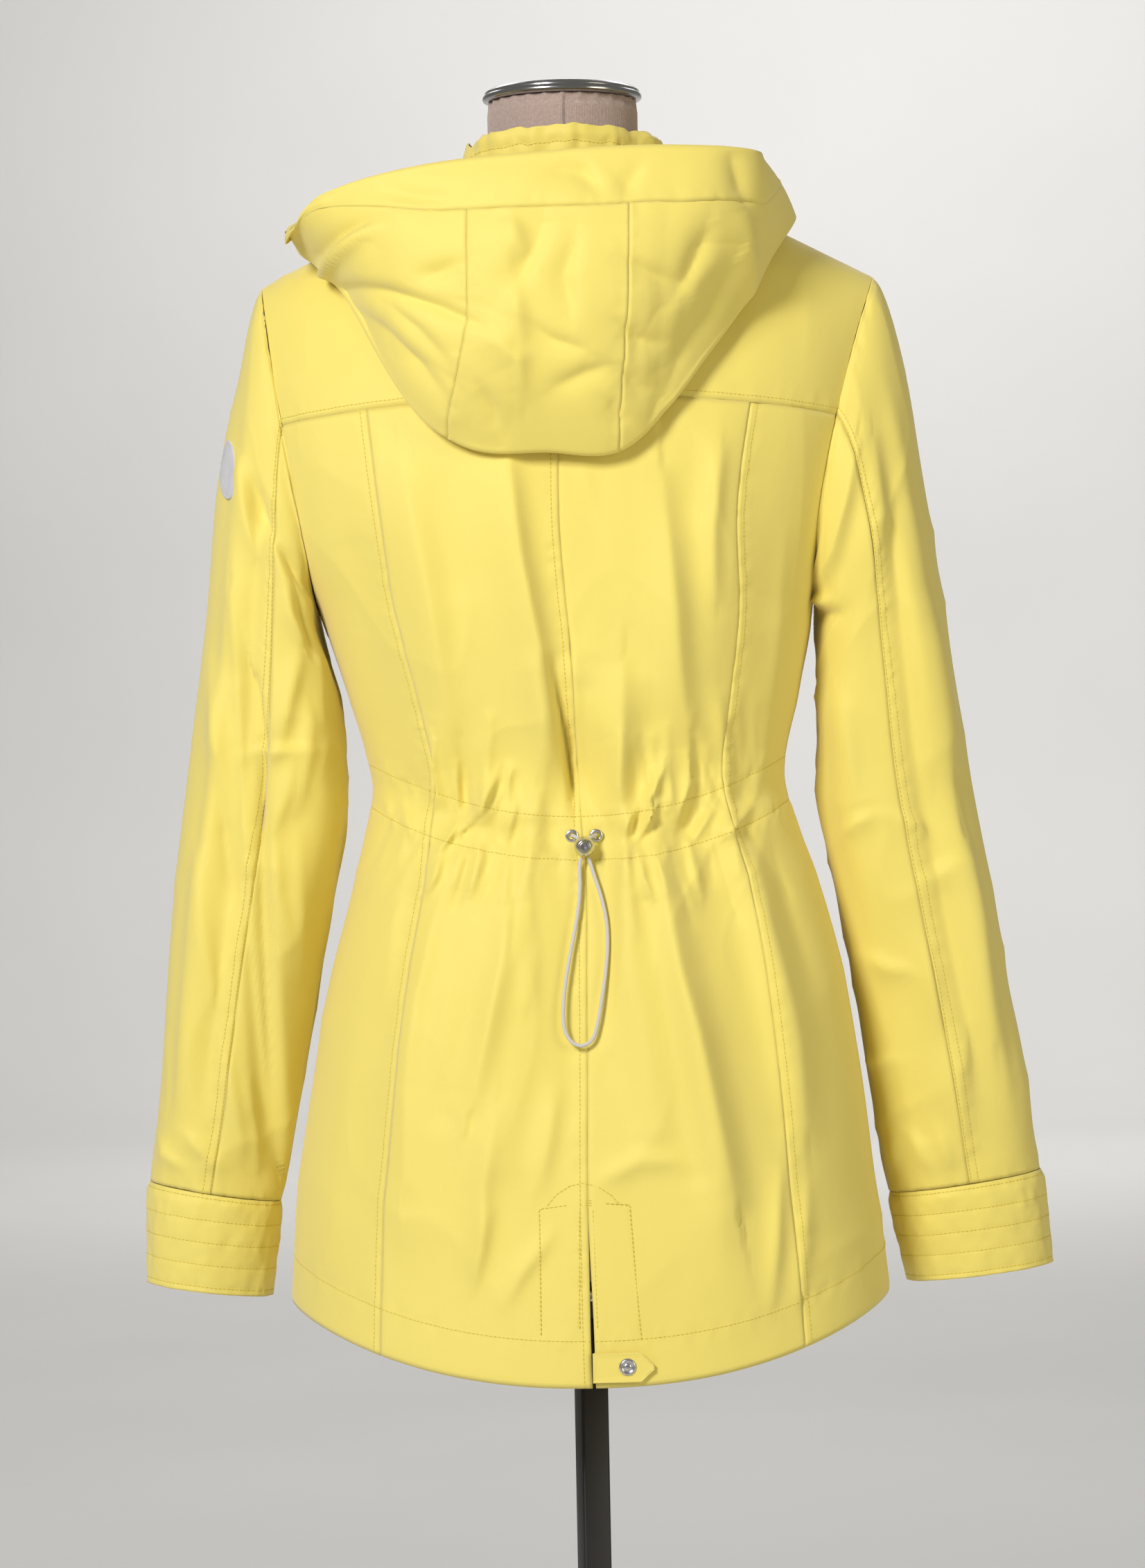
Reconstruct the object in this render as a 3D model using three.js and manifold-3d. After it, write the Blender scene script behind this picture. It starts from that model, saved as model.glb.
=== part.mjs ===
// A hooded windbreaker jacket on a limbless dress form with a pole stand.
// Millimetres, +Z up. The jacket's back faces +Y and its left side is +X.
// The origin is on the floor, under the middle of the round base plate.
import * as THREE from 'three';
import Module from 'manifold-3d';
import { mergeVertices } from 'three/addons/utils/BufferGeometryUtils.js';

// Cloth and seams
const CLOTH = 2;
const SEAM = 0.3;
const UNDERARM = 1158;
const YOKE_SEAM = 1288;
const YOKE_DROP = 12;
const HEM_BACK = 654;
const HEM_SIDE = 700;
const HEM_FRONT = 692;

// Shoulders and neck hole
const SHOULDER_TIP = { x: 203, z: 1372 };
const NECK_POINT = { x: 66, z: 1440 };
const NECK_MIDDLE = 5;
const NECK_BACK = { y: 66, z: 1415 };
const NECK_FRONT = { y: -72, z: 1376 };
const UPPER_START = 1230;

// Level sections of the body: height, middle, half width at the cut edge, half width of the
// whole round, depth behind and in front, and squareness of the round
const BODY = [
  { z: 640, mid: -4, half: 203, full: 203, back: 151, front: 157, square: 2.3 },
  { z: 700, mid: -3, half: 199, full: 199, back: 150, front: 155, square: 2.3 },
  { z: 766, mid: -2, half: 193, full: 193, back: 146, front: 150, square: 2.35 },
  { z: 840, mid: -3, half: 183, full: 183, back: 139, front: 143, square: 2.4 },
  { z: 914, mid: -4, half: 170, full: 170, back: 130, front: 133, square: 2.45 },
  { z: 975, mid: -5, half: 154, full: 154, back: 119, front: 122, square: 2.5 },
  { z: 1006, mid: -3, half: 145, full: 145, back: 111, front: 115, square: 2.5 },
  { z: 1043, mid: -1, half: 137, full: 137, back: 104, front: 112, square: 2.5 },
  { z: 1099, mid: 1, half: 150, full: 150, back: 112, front: 120, square: 2.5 },
  { z: 1136, mid: 3, half: 160, full: 160, back: 117, front: 126, square: 2.5 },
  { z: 1158, mid: 5, half: 165, full: 165, back: 119, front: 128, square: 2.5 },
  { z: 1209, mid: 8, half: 169, full: 182, back: 121, front: 130, square: 2.5 },
  { z: 1275, mid: 7, half: 181, full: 198, back: 120, front: 124, square: 2.5 },
  { z: 1330, mid: 4, half: 193, full: 210, back: 112, front: 112, square: 2.5 },
  { z: 1372, mid: 0, half: 203, full: 223, back: 101, front: 98, square: 2.5 },
  { z: 1376, mid: 0, half: 203, full: 224, back: 100, front: 97, square: 2.5 },
  { z: 1450, mid: 0, half: 203, full: 230, back: 82, front: 80, square: 2.5 },
];

// Seams across the body, as a share of the way round from the centre back to the side
const PRINCESS = 0.476;
const NECK_SHARE = Math.asin(NECK_POINT.x / SHOULDER_TIP.x) / (Math.PI / 2);

// Folds of the back: a straight run from one place to another, its width and its height out
const BACK_FOLDS = [
  { x: -4, z: 1010, toX: -3, toZ: 1095, wide: 11, deep: -8 },
  { x: 12, z: 1018, toX: 26, toZ: 1110, wide: 11, deep: 4.5 },
  { x: -22, z: 1018, toX: -40, toZ: 1100, wide: 12, deep: 4 },
  { x: 44, z: 1022, toX: 72, toZ: 1150, wide: 15, deep: 3.5 },
  { x: -58, z: 1025, toX: -70, toZ: 1190, wide: 15, deep: 4 },
  { x: -84, z: 1050, toX: -104, toZ: 1270, wide: 17, deep: 5 },
  { x: 92, z: 1060, toX: 106, toZ: 1230, wide: 18, deep: 4 },
  { x: 128, z: 1080, toX: 140, toZ: 1190, wide: 12, deep: -5 },
  { x: -128, z: 1090, toX: -138, toZ: 1200, wide: 12, deep: -5 },
  { x: 24, z: 985, toX: 52, toZ: 800, wide: 15, deep: 4.5 },
  { x: 66, z: 985, toX: 112, toZ: 760, wide: 20, deep: 4 },
  { x: 46, z: 975, toX: 88, toZ: 830, wide: 11, deep: -4 },
  { x: -26, z: 985, toX: -44, toZ: 820, wide: 13, deep: 5 },
  { x: -58, z: 985, toX: -96, toZ: 700, wide: 17, deep: 5 },
  { x: -42, z: 975, toX: -72, toZ: 790, wide: 11, deep: -4.5 },
  { x: -92, z: 985, toX: -128, toZ: 820, wide: 14, deep: -4 },
  { x: -118, z: 985, toX: -152, toZ: 760, wide: 15, deep: 4 },
  { x: 104, z: 990, toX: 150, toZ: 780, wide: 16, deep: -4 },
  { x: 128, z: 1000, toX: 172, toZ: 740, wide: 15, deep: 4 },
  { x: 4, z: 975, toX: 6, toZ: 830, wide: 9, deep: -2.5 },
];

// Folds of the front, plainer than the back
const FRONT_FOLDS = [
  { x: 58, z: 985, toX: 92, toZ: 780, wide: 18, deep: 4 },
  { x: -52, z: 985, toX: -84, toZ: 800, wide: 17, deep: 4 },
  { x: 112, z: 985, toX: 150, toZ: 770, wide: 16, deep: -4 },
  { x: -108, z: 985, toX: -146, toZ: 790, wide: 16, deep: -4 },
  { x: 86, z: 1060, toX: 96, toZ: 1180, wide: 17, deep: 3.5 },
  { x: -82, z: 1060, toX: -98, toZ: 1190, wide: 17, deep: 3.5 },
];

// Gathers drawn up by the waist elastic: waves between the sides, height, reach and rise
const GATHERS = { waves: 9, deep: 2.6, reach: 34, middle: 1003, rise: 37, hollow: 3 };

// Sleeve sections from armhole to cuff: share of the way, outer edge, inner edge, middle and
// half depth. Both edges were measured from the picture, seen from behind.
const SLEEVE_LEFT = [
  { at: 0, outX: 203, outZ: 1372, inX: 171, inZ: 1158, y: 2, deep: 62 },
  { at: 0.07, outX: 216, outZ: 1342, inX: 169.5, inZ: 1143, y: 2, deep: 64 },
  { at: 0.16, outX: 225, outZ: 1292, inX: 164, inZ: 1122, y: 1, deep: 63 },
  { at: 0.28, outX: 236, outZ: 1230, inX: 156.5, inZ: 1098, y: -1, deep: 60 },
  { at: 0.4, outX: 245, outZ: 1150, inX: 153.5, inZ: 1064, y: -4, deep: 57 },
  { at: 0.52, outX: 256, outZ: 1062, inX: 153, inZ: 1020, y: -7, deep: 54 },
  { at: 0.64, outX: 266.5, outZ: 980, inX: 162, inZ: 970, y: -10, deep: 52 },
  { at: 0.76, outX: 276, outZ: 905, inX: 177, inZ: 898, y: -14, deep: 49 },
  { at: 0.88, outX: 283, outZ: 836, inX: 190, inZ: 826, y: -18, deep: 45 },
  { at: 1, outX: 291, outZ: 778, inX: 204, inZ: 763, y: -22, deep: 40 },
];
const SLEEVE_RIGHT = [
  { at: 0, outX: -205, outZ: 1372, inX: -161, inZ: 1158, y: 2, deep: 62 },
  { at: 0.07, outX: -219, outZ: 1346, inX: -161.5, inZ: 1144, y: 2, deep: 64 },
  { at: 0.16, outX: -227, outZ: 1298, inX: -161, inZ: 1124, y: 1, deep: 63 },
  { at: 0.28, outX: -236, outZ: 1230, inX: -160.5, inZ: 1100, y: -1, deep: 60 },
  { at: 0.4, outX: -246, outZ: 1155, inX: -160.5, inZ: 1066, y: -4, deep: 57 },
  { at: 0.52, outX: -257, outZ: 1068, inX: -161.5, inZ: 1020, y: -7, deep: 54 },
  { at: 0.64, outX: -271, outZ: 984, inX: -169, inZ: 972, y: -10, deep: 52 },
  { at: 0.76, outX: -285, outZ: 908, inX: -183, inZ: 900, y: -14, deep: 49 },
  { at: 0.88, outX: -298, outZ: 836, inX: -193.5, inZ: 826, y: -18, deep: 46 },
  { at: 1, outX: -306, outZ: 775, inX: -205, inZ: 761, y: -22, deep: 42 },
];
const CUFF_LEFT = [
  { at: 0, outX: 291, outZ: 777.4, inX: 204, inZ: 762.4, y: -22, deep: 40 },
  { at: 0.12, outX: 293.5, outZ: 769, inX: 203.5, inZ: 755, y: -22, deep: 41.5 },
  { at: 1, outX: 295, outZ: 710, inX: 211, inZ: 699, y: -25, deep: 39 },
];
const CUFF_RIGHT = [
  { at: 0, outX: -306, outZ: 774.4, inX: -205, inZ: 760.4, y: -22, deep: 42 },
  { at: 0.12, outX: -309, outZ: 766, inX: -204.5, inZ: 753, y: -22, deep: 43.5 },
  { at: 1, outX: -314, outZ: 712, inX: -216, inZ: 701, y: -25, deep: 41 },
];
const ARMHOLE_BLEND = 0.3;
const SLEEVE_BACK_SEAM = 0.25;
const SLEEVE_FRONT_SEAM = 0.8125;

// Sleeve folds: turn round the arm, from one share of its length to another
const SLEEVE_FOLDS = [
  { turn: 0.36, from: 0.08, to: 0.96, wide: 9, deep: 4 },
  { turn: 0.3, from: 0.14, to: 0.94, wide: 8, deep: -4.5 },
  { turn: 0.14, from: 0.3, to: 0.75, wide: 12, deep: 3 },
  { turn: 0.5, from: 0.2, to: 0.8, wide: 16, deep: 2 },
  { turn: 0.68, from: 0.25, to: 0.85, wide: 12, deep: -3 },
  { turn: 0.8, from: 0.2, to: 0.9, wide: 12, deep: 3 },
];

// Hood: the face edge from front left, round the back, to front right
const HOOD_EDGE = [
  { at: -1, x: 27, y: -82, z: 1398 },
  { at: -0.82, x: 92, y: -68, z: 1422 },
  { at: -0.66, x: 153, y: -14, z: 1425 },
  { at: -0.52, x: 182, y: 70, z: 1404 },
  { at: -0.38, x: 148, y: 116, z: 1416 },
  { at: -0.2, x: 88, y: 140, z: 1433 },
  { at: 0.05, x: -4, y: 150, z: 1441 },
  { at: 0.3, x: -88, y: 140, z: 1443 },
  { at: 0.46, x: -131, y: 112, z: 1442 },
  { at: 0.6, x: -134, y: 58, z: 1440 },
  { at: 0.8, x: -92, y: -56, z: 1427 },
  { at: 1, x: -27, y: -82, z: 1398 },
];

// Hood: the fold it hangs from, by sideways place and by the way over the body (1 underarm,
// 2 yoke seam, 3 shoulder ridge, 4 front), and how far the cloth bellies out above it
const HOOD_FOLD = [
  { at: -1, x: 27, over: 3.2, high: 0, low: 2 },
  { at: -0.82, x: 92, over: 3.25, high: 3, low: 4 },
  { at: -0.66, x: 150, over: 3.12, high: 6, low: 6 },
  { at: -0.52, x: 161, over: 2.84, high: 6, low: 8 },
  { at: -0.4, x: 142, over: 2.46, high: 12, low: 16 },
  { at: -0.26, x: 106, over: 2.0, high: 20, low: 26 },
  { at: -0.14, x: 66, over: 1.74, high: 26, low: 34 },
  { at: 0.02, x: 14, over: 1.7, high: 28, low: 36 },
  { at: 0.16, x: -34, over: 1.72, high: 26, low: 34 },
  { at: 0.3, x: -80, over: 2.04, high: 20, low: 24 },
  { at: 0.42, x: -118, over: 2.4, high: 14, low: 16 },
  { at: 0.54, x: -140, over: 2.8, high: 8, low: 10 },
  { at: 0.66, x: -136, over: 3.1, high: 4, low: 5 },
  { at: 0.82, x: -92, over: 3.25, high: 3, low: 4 },
  { at: 1, x: -27, over: 3.2, high: 0, low: 2 },
];
const HOOD_SEAM_LEFT = -0.125;
const HOOD_SEAM_RIGHT = 0.155;
const HOOD_BAND = 0.1;
const HOOD_REST = 6.5;
const HOOD_TURN = 5;
const HOOD_CLEAR = 4.2;
const HOOD_TRIM = 0.3;

// Collar
const COLLAR_INSET = 1.1;
const COLLAR_HEIGHT = 50;
const COLLAR_FLARE = 8;
const COLLAR_WAVES = 7;

// Centre front closure
const ZIP_WIDTH = 9;
const SLIDER = { wide: 9, high: 15, thick: 3, z: 1436 };
const PULL = { wide: 7, long: 30, thick: 1.6 };
const PIVOT = { radius: 0.9, reach: 3.1, clearance: 0.35, wall: 1.3 };

// Drawn waist: lock, eyelets and the free elastic loop
const ELASTIC = 2.4;
const LOCK = { x: -4, z: 997.8, radius: 6.75, button: 3.4 };
const LOCK_CALM = 17;
const EYELET = { gap: 15.6, z: 1004.6, hole: 2, rim: 4.4, thick: 1.2 };
const LOOP_STEPS = 44;
const LOOP_ROUTE = [
  [-1.6, 121, 990.4], [-0.7, 122, 984], [-0.8, 123.5, 973], [0.4, 125.5, 960], [2.6, 128, 947],
  [6.2, 131, 930], [9.6, 134, 912], [11.4, 136.5, 896], [11.2, 138, 884], [8.4, 139, 876],
  [3.2, 139.5, 871.6], [-2.6, 139.5, 871.8], [-7.4, 139, 876], [-10.6, 138, 886],
  [-13.2, 136.5, 900], [-15.8, 134, 916], [-17.6, 131, 934], [-17.2, 128.5, 950],
  [-14, 126, 966], [-10, 123.5, 979], [-6.6, 121, 990.4],
];

// Vent, tab and snap
const VENT_TOP = 770;
const VENT_GAP = 1.1;
const VENT_SPREAD = 90;
const TAB = { left: -3, right: -42, middle: 667, half: 9.5, point: 9, lift: 0.35, thick: 1.6 };
const SNAP = { x: -25, z: 667.5, radius: 5.6, thick: 2 };

// Round patch on the left sleeve
const BADGE = { turn: 0.415, at: 0.235, radius: 17, thick: 1, lift: 0.35 };

// Dress form and stand
const FORM = [
  { z: 718, half: 148, back: 116, front: 118 },
  { z: 760, half: 158, back: 124, front: 122 },
  { z: 820, half: 163, back: 126, front: 124 },
  { z: 900, half: 148, back: 114, front: 110 },
  { z: 980, half: 122, back: 92, front: 92 },
  { z: 1035, half: 114, back: 84, front: 92 },
  { z: 1090, half: 124, back: 92, front: 106 },
  { z: 1158, half: 140, back: 103, front: 119 },
  { z: 1230, half: 148, back: 106, front: 116 },
  { z: 1300, half: 166, back: 94, front: 92 },
  { z: 1335, half: 176, back: 76, front: 68 },
  { z: 1372, half: 182, back: 56, front: 48 },
  { z: 1400, half: 182, back: 38, front: 34 },
  { z: 1416, half: 182, back: 31, front: 29 },
  { z: 1437, half: 182, back: 34, front: 34 },
];
const FORM_SEAT = 10;
const FORM_NECK = { x: 1, radius: 50, top: 1492, foot: 1437 };
const CAP = { radius: 53, thick: 9 };
const SOCKET = { radius: 21, height: 34, wall: 4 };
const POLE = { side: 19, turn: 16, x: -2 };
const BASE = { radius: 185, thick: 12, hub: 30, hubHeight: 38 };

const MATERIALS = {
  cloth: new THREE.MeshStandardMaterial({ color: 0xf0df4a, roughness: 0.55 }),
  metal: new THREE.MeshStandardMaterial({ color: 0xc8c8c8, roughness: 0.2, metalness: 1 }),
  elastic: new THREE.MeshStandardMaterial({ color: 0xe9e6df, roughness: 0.8 }),
  badge: new THREE.MeshStandardMaterial({ color: 0xdcdcdc, roughness: 0.7 }),
  linen: new THREE.MeshStandardMaterial({ color: 0xbda497, roughness: 0.95 }),
  black: new THREE.MeshStandardMaterial({ color: 0x2b2828, roughness: 0.4, metalness: 0.4 }),
};

const wasm = await Module();
wasm.setup();
const object = new THREE.Group();

// Even stops from one value to another
function stops(from, to, count) {
  return Array.from({ length: count + 1 }, (_, i) => from + (to - from) * i / count);
}

// A smooth curve through one named column of a table, with the tangents of its neighbours
function column(rows, key, name, at) {
  let i = 0;
  while (i < rows.length - 2 && at > rows[i + 1][key]) i += 1;
  const slope = k => {
    const before = rows[Math.max(k - 1, 0)], after = rows[Math.min(k + 1, rows.length - 1)];
    return (after[name] - before[name]) / (after[key] - before[key]);
  };
  const a = rows[i], b = rows[i + 1], span = b[key] - a[key];
  const t = THREE.MathUtils.clamp((at - a[key]) / span, 0, 1);
  const s = t * t * (3 - 2 * t);
  return a[name] * (1 - s) + b[name] * s
    + span * (t * (1 - t) * (1 - t) * slope(i) - t * t * (1 - t) * slope(i + 1));
}

const body = (name, z) => column(BODY, 'z', name, z);

// Sideways place, from -1 at the right edge to 1 at the left edge, of a share of the way round
const across = share => Math.sin(share * Math.PI / 2);

// How much of the neck hole's dip is left at a sideways place
const neckDip = s => Math.sqrt(Math.max(0, 1 - (s * SHOULDER_TIP.x / NECK_POINT.x) ** 2));

// Height of the shoulder seam, or of the neck seam between the neck points
function ridgeHeight(s, side) {
  const neck = side > 0 ? NECK_BACK : NECK_FRONT;
  const slope = (NECK_POINT.z - SHOULDER_TIP.z) / (SHOULDER_TIP.x - NECK_POINT.x);
  const x = Math.abs(s) * SHOULDER_TIP.x;
  if (x >= NECK_POINT.x) return SHOULDER_TIP.z + slope * (SHOULDER_TIP.x - x);
  return NECK_POINT.z + (neck.z - NECK_POINT.z) * neckDip(s) ** 1.4;
}

// Depth of the shoulder seam, or of the neck seam between the neck points
function ridgeDepth(s, side) {
  const neck = side > 0 ? NECK_BACK : NECK_FRONT;
  return NECK_MIDDLE + (neck.y - NECK_MIDDLE) * neckDip(s);
}

const yokeHeight = s => YOKE_SEAM - YOKE_DROP * s * s;

function hemHeight(s, side) {
  if (side > 0) return HEM_BACK + (HEM_SIDE - HEM_BACK) * Math.abs(s) ** 2.2;
  return HEM_FRONT + (HEM_SIDE - HEM_FRONT) * s * s;
}

// Height on the body: 0 hem, 1 underarm, 2 yoke seam, 3 shoulder or neck seam
function bodyHeight(s, level, side) {
  if (level <= 1) return hemHeight(s, side) + (UNDERARM - hemHeight(s, side)) * level;
  if (level <= 2) return UNDERARM + (yokeHeight(s) - UNDERARM) * (level - 1) ** 1.5;
  const rise = Math.sin((level - 2) * Math.PI / 2);
  return yokeHeight(s) + (ridgeHeight(s, side) - yokeHeight(s)) * rise;
}

// How far a set of straight folds moves the cloth out at a place
function strokes(folds, x, z) {
  let out = 0;
  for (const fold of folds) {
    const dx = fold.toX - fold.x, dz = fold.toZ - fold.z;
    const along = ((x - fold.x) * dx + (z - fold.z) * dz) / (dx * dx + dz * dz);
    const t = THREE.MathUtils.clamp(along, 0, 1);
    const off = Math.hypot(x - fold.x - dx * t, z - fold.z - dz * t) / fold.wide;
    out += fold.deep * Math.exp(-off * off) * (0.35 + 0.65 * Math.sin(Math.PI * (0.15 + 0.7 * t)));
  }
  return out;
}

// Waves of the gathered waist, dying away above and below the elastic
function gathers(s, z) {
  const off = (z - GATHERS.middle - GATHERS.rise * s * s) / GATHERS.reach;
  const wave = Math.sin(GATHERS.waves * Math.PI * s + 1.3 * Math.sin(5 * s) + 0.6);
  const calm = 1 - Math.exp(-((s / 0.09) ** 2));
  return GATHERS.deep * wave * calm * Math.exp(-off * off) - GATHERS.hollow * Math.exp(-off * off * 9);
}

// Depth of the body's outer face, before its folds, at a sideways share and a height
function bodyDepth(s, z, side, folds = 0) {
  const square = body('square', z);
  const round = Math.min(1, Math.abs(s) * body('half', z) / body('full', z));
  const depth = body(side > 0 ? 'back' : 'front', z) * Math.max(0, 1 - round ** square) ** (1 / square);
  const out = side * (depth + folds);
  const upper = (z - UPPER_START) / (ridgeHeight(s, side) - UPPER_START);
  if (upper <= 0) return out;
  const level = Math.min(1, upper);
  const open = THREE.MathUtils.smoothstep(Math.abs(s), 0.24, 0.42);
  const keep = (1 - level ** 1.9) * (1 - open) + open * (1 - level ** 2.3) ** (1 / 2.3);
  return ridgeDepth(s, side) * (1 - keep) + out * keep;
}

// A place on the body's outer face. side is 1 behind and -1 in front.
function bodyPlace(share, level, side) {
  const s = across(share);
  const z = bodyHeight(s, level, side);
  const x = body('mid', z) + body('half', z) * s;
  const edge = 1 - Math.abs(s) ** 6;
  const low = 0.35 + 0.65 * THREE.MathUtils.smoothstep(z, HEM_BACK, 760);
  const lock = 1 - Math.exp(-((x - LOCK.x) ** 2 + (z - EYELET.z) ** 2) / LOCK_CALM ** 2);
  const folds = strokes(side > 0 ? BACK_FOLDS : FRONT_FOLDS, x, z) + gathers(s, z);
  return new THREE.Vector3(x, bodyDepth(s, z, side, folds * edge * low * lock), z);
}

// The direction out of a surface of two parameters, pointing away from what it wraps
function normalOf(place, u, v, sign, limits, step = 0.004) {
  const low = (t, range) => Math.max(range[0], t - step);
  const high = (t, range) => Math.min(range[1], t + step);
  const du = place(high(u, limits.u), v).sub(place(low(u, limits.u), v));
  const dv = place(u, high(v, limits.v)).sub(place(u, low(v, limits.v)));
  return du.cross(dv).normalize().multiplyScalar(sign);
}

// Rows of the armhole, as turns from the underarm up the back and down the front
function armholeAt(turn, left) {
  const t = ((turn % 1) + 1) % 1;
  return t <= 0.5 ? bodyPlace(left, 1 + 4 * t, 1) : bodyPlace(left, 1 + 4 * (1 - t), -1);
}

// The rim of an armhole: its place, the way into the hole and the way out along the arm
function armholeRim(turn, left) {
  const place = armholeAt(turn, left);
  const tangent = armholeAt(turn + 0.01, left).sub(armholeAt(turn - 0.01, left)).normalize();
  const centre = armholeAt(0, left).add(armholeAt(0.5, left)).multiplyScalar(0.5);
  const inward = centre.sub(place);
  inward.addScaledVector(tangent, -inward.dot(tangent)).normalize();
  const along = new THREE.Vector3().crossVectors(tangent, inward).normalize();
  if (along.x * left < 0) along.negate();
  return { place, inward, along };
}

const onArmhole = (share, level) => Math.abs(share) > 0.9999 && level > 0.9999;

// The body as its panels use it, kept half a seam from the sleeves along the armhole
function panelPlace(share, level, side) {
  const place = bodyPlace(share, level, side);
  if (!onArmhole(share, level)) return place;
  const turn = side > 0 ? (level - 1) / 4 : 1 - (level - 1) / 4;
  return place.addScaledVector(armholeRim(turn, Math.sign(share)).along, -SEAM / 2);
}

function panelOut(share, level, side) {
  if (onArmhole(share, level)) {
    const turn = side > 0 ? (level - 1) / 4 : 1 - (level - 1) / 4;
    return armholeRim(turn, Math.sign(share)).inward.negate();
  }
  if (level > 2.999 && Math.abs(share) >= NECK_SHARE - 1e-6) {
    const slope = (NECK_POINT.z - SHOULDER_TIP.z) / (SHOULDER_TIP.x - NECK_POINT.x);
    return new THREE.Vector3(Math.sign(share) * slope, 0, 1).normalize();
  }
  if (level > 2.999) return new THREE.Vector3(0, 0, 1.3);
  const limits = { u: [-1, 1], v: [0, 3] };
  return normalOf((u, v) => bodyPlace(u, v, side), share, level, -side, limits);
}

// Moves the rim of a grid of points in by half a seam, towards the next point of each row
function trimGrid(grid, trim, round) {
  const shift = (point, next) => point.addScaledVector(next.clone().sub(point).normalize(), trim);
  const last = grid.length - 1, end = grid[0].length - 1;
  if (!round) grid[0].forEach((point, j) => shift(point, grid[1][j]));
  if (!round) grid[last].forEach((point, j) => shift(point, grid[last - 1][j]));
  grid.forEach(line => shift(line[0], line[1]));
  grid.forEach(line => shift(line[end], line[end - 1]));
}

// A closed wall of cloth: outer points, inner points a thickness below, and a rim round both
function clothWall(name, place, outward, us, vs, options = {}) {
  const { thick = CLOTH, trim = SEAM / 2, round = false, material = MATERIALS.cloth } = options;
  const outer = us.map(u => vs.map(v => place(u, v)));
  trimGrid(outer, trim, round);
  const inner = outer.map((line, i) => line.map((point, j) =>
    point.clone().addScaledVector(outward(us[i], vs[j]), -thick)));
  const rows = vs.length, columns = us.length;
  const points = [...outer.flat(), ...inner.flat()];
  const at = (layer, i, j) => layer * columns * rows + (i % columns) * rows + j;
  const faces = [];
  const quad = (a, b, c, d) => faces.push(a, b, c, a, c, d);
  for (let i = 0; i < (round ? columns : columns - 1); i += 1) {
    for (let j = 0; j < rows - 1; j += 1) {
      quad(at(0, i, j), at(0, i + 1, j), at(0, i + 1, j + 1), at(0, i, j + 1));
      quad(at(1, i, j), at(1, i, j + 1), at(1, i + 1, j + 1), at(1, i + 1, j));
    }
    quad(at(0, i, 0), at(1, i, 0), at(1, i + 1, 0), at(0, i + 1, 0));
    quad(at(0, i, rows - 1), at(0, i + 1, rows - 1), at(1, i + 1, rows - 1), at(1, i, rows - 1));
  }
  for (let j = 0; !round && j < rows - 1; j += 1) {
    quad(at(0, 0, j), at(0, 0, j + 1), at(1, 0, j + 1), at(1, 0, j));
    quad(at(0, columns - 1, j), at(1, columns - 1, j), at(1, columns - 1, j + 1), at(0, columns - 1, j + 1));
  }
  addMesh(name, closedShape(points, faces), material);
}

// A geometry from points and faces, turned so that its faces point out
function closedShape(points, faces) {
  let volume = 0;
  for (let i = 0; i < faces.length; i += 3) {
    const [a, b, c] = [points[faces[i]], points[faces[i + 1]], points[faces[i + 2]]];
    volume += a.dot(b.clone().cross(c));
  }
  const order = volume > 0 ? faces : faces.slice().reverse();
  const shape = new THREE.BufferGeometry();
  shape.setAttribute('position', new THREE.Float32BufferAttribute(points.flatMap(p => [p.x, p.y, p.z]), 3));
  shape.setIndex(order);
  shape.computeVertexNormals();
  return shape;
}

function addMesh(name, shape, material) {
  const mesh = new THREE.Mesh(shape, material);
  mesh.name = name;
  object.add(mesh);
  return mesh;
}

// Turns a closed three.js geometry into a solid for joining and cutting
function solid(shape) {
  const bare = shape.clone();
  bare.deleteAttribute('normal');
  bare.deleteAttribute('uv');
  const merged = mergeVertices(bare, 1e-4);
  const mesh = new wasm.Mesh({
    numProp: 3,
    vertProperties: new Float32Array(merged.attributes.position.array),
    triVerts: new Uint32Array(merged.index.array),
  });
  return new wasm.Manifold(mesh);
}

function shapeOf(piece) {
  const mesh = piece.getMesh();
  const shape = new THREE.BufferGeometry();
  shape.setAttribute('position', new THREE.BufferAttribute(mesh.vertProperties, 3));
  shape.setIndex(new THREE.BufferAttribute(mesh.triVerts, 1));
  shape.computeVertexNormals();
  return shape;
}

// Body panels, from the hem up
function makeBody() {
  const top = stops(2, 3, 4);
  const backRows = [...stops(0, 1, 16), ...stops(1, 2, 4).slice(1)];
  const frontRows = [...backRows, ...top.slice(1)];
  const makeBack = (name, from, to, columns) => clothWall(name,
    (u, v) => ventEdge(panelPlace(u, v, 1), u, Math.sign(from + to)), (u, v) => panelOut(u, v, 1),
    stops(from, to, columns), backRows);
  makeBack('back_centre_left', 0, PRINCESS, 8);
  makeBack('back_centre_right', -PRINCESS, 0, 8);
  makeBack('back_side_left', PRINCESS, 1, 7);
  makeBack('back_side_right', -1, -PRINCESS, 7);
  const neck = stops(0, Math.PI / 2, 5).map(a => Math.asin(NECK_POINT.x * Math.sin(a) / SHOULDER_TIP.x));
  const half = [...neck.map(angle => angle / (Math.PI / 2)), ...stops(NECK_SHARE, 1, 6).slice(1)];
  const mirrored = half.map(u => -u).reverse();
  const whole = [...mirrored.slice(0, -1), ...half];
  clothWall('back_yoke', (u, v) => panelPlace(u, v, 1), (u, v) => panelOut(u, v, 1), whole, top);
  for (const [name, left, us] of [['front_left', 1, half], ['front_right', -1, mirrored]]) {
    clothWall(name, (u, v) => zipEdge(panelPlace(u, v, -1), u, left),
      (u, v) => panelOut(u, v, -1), us, frontRows);
  }
  makeZip(frontRows);
}

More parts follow.
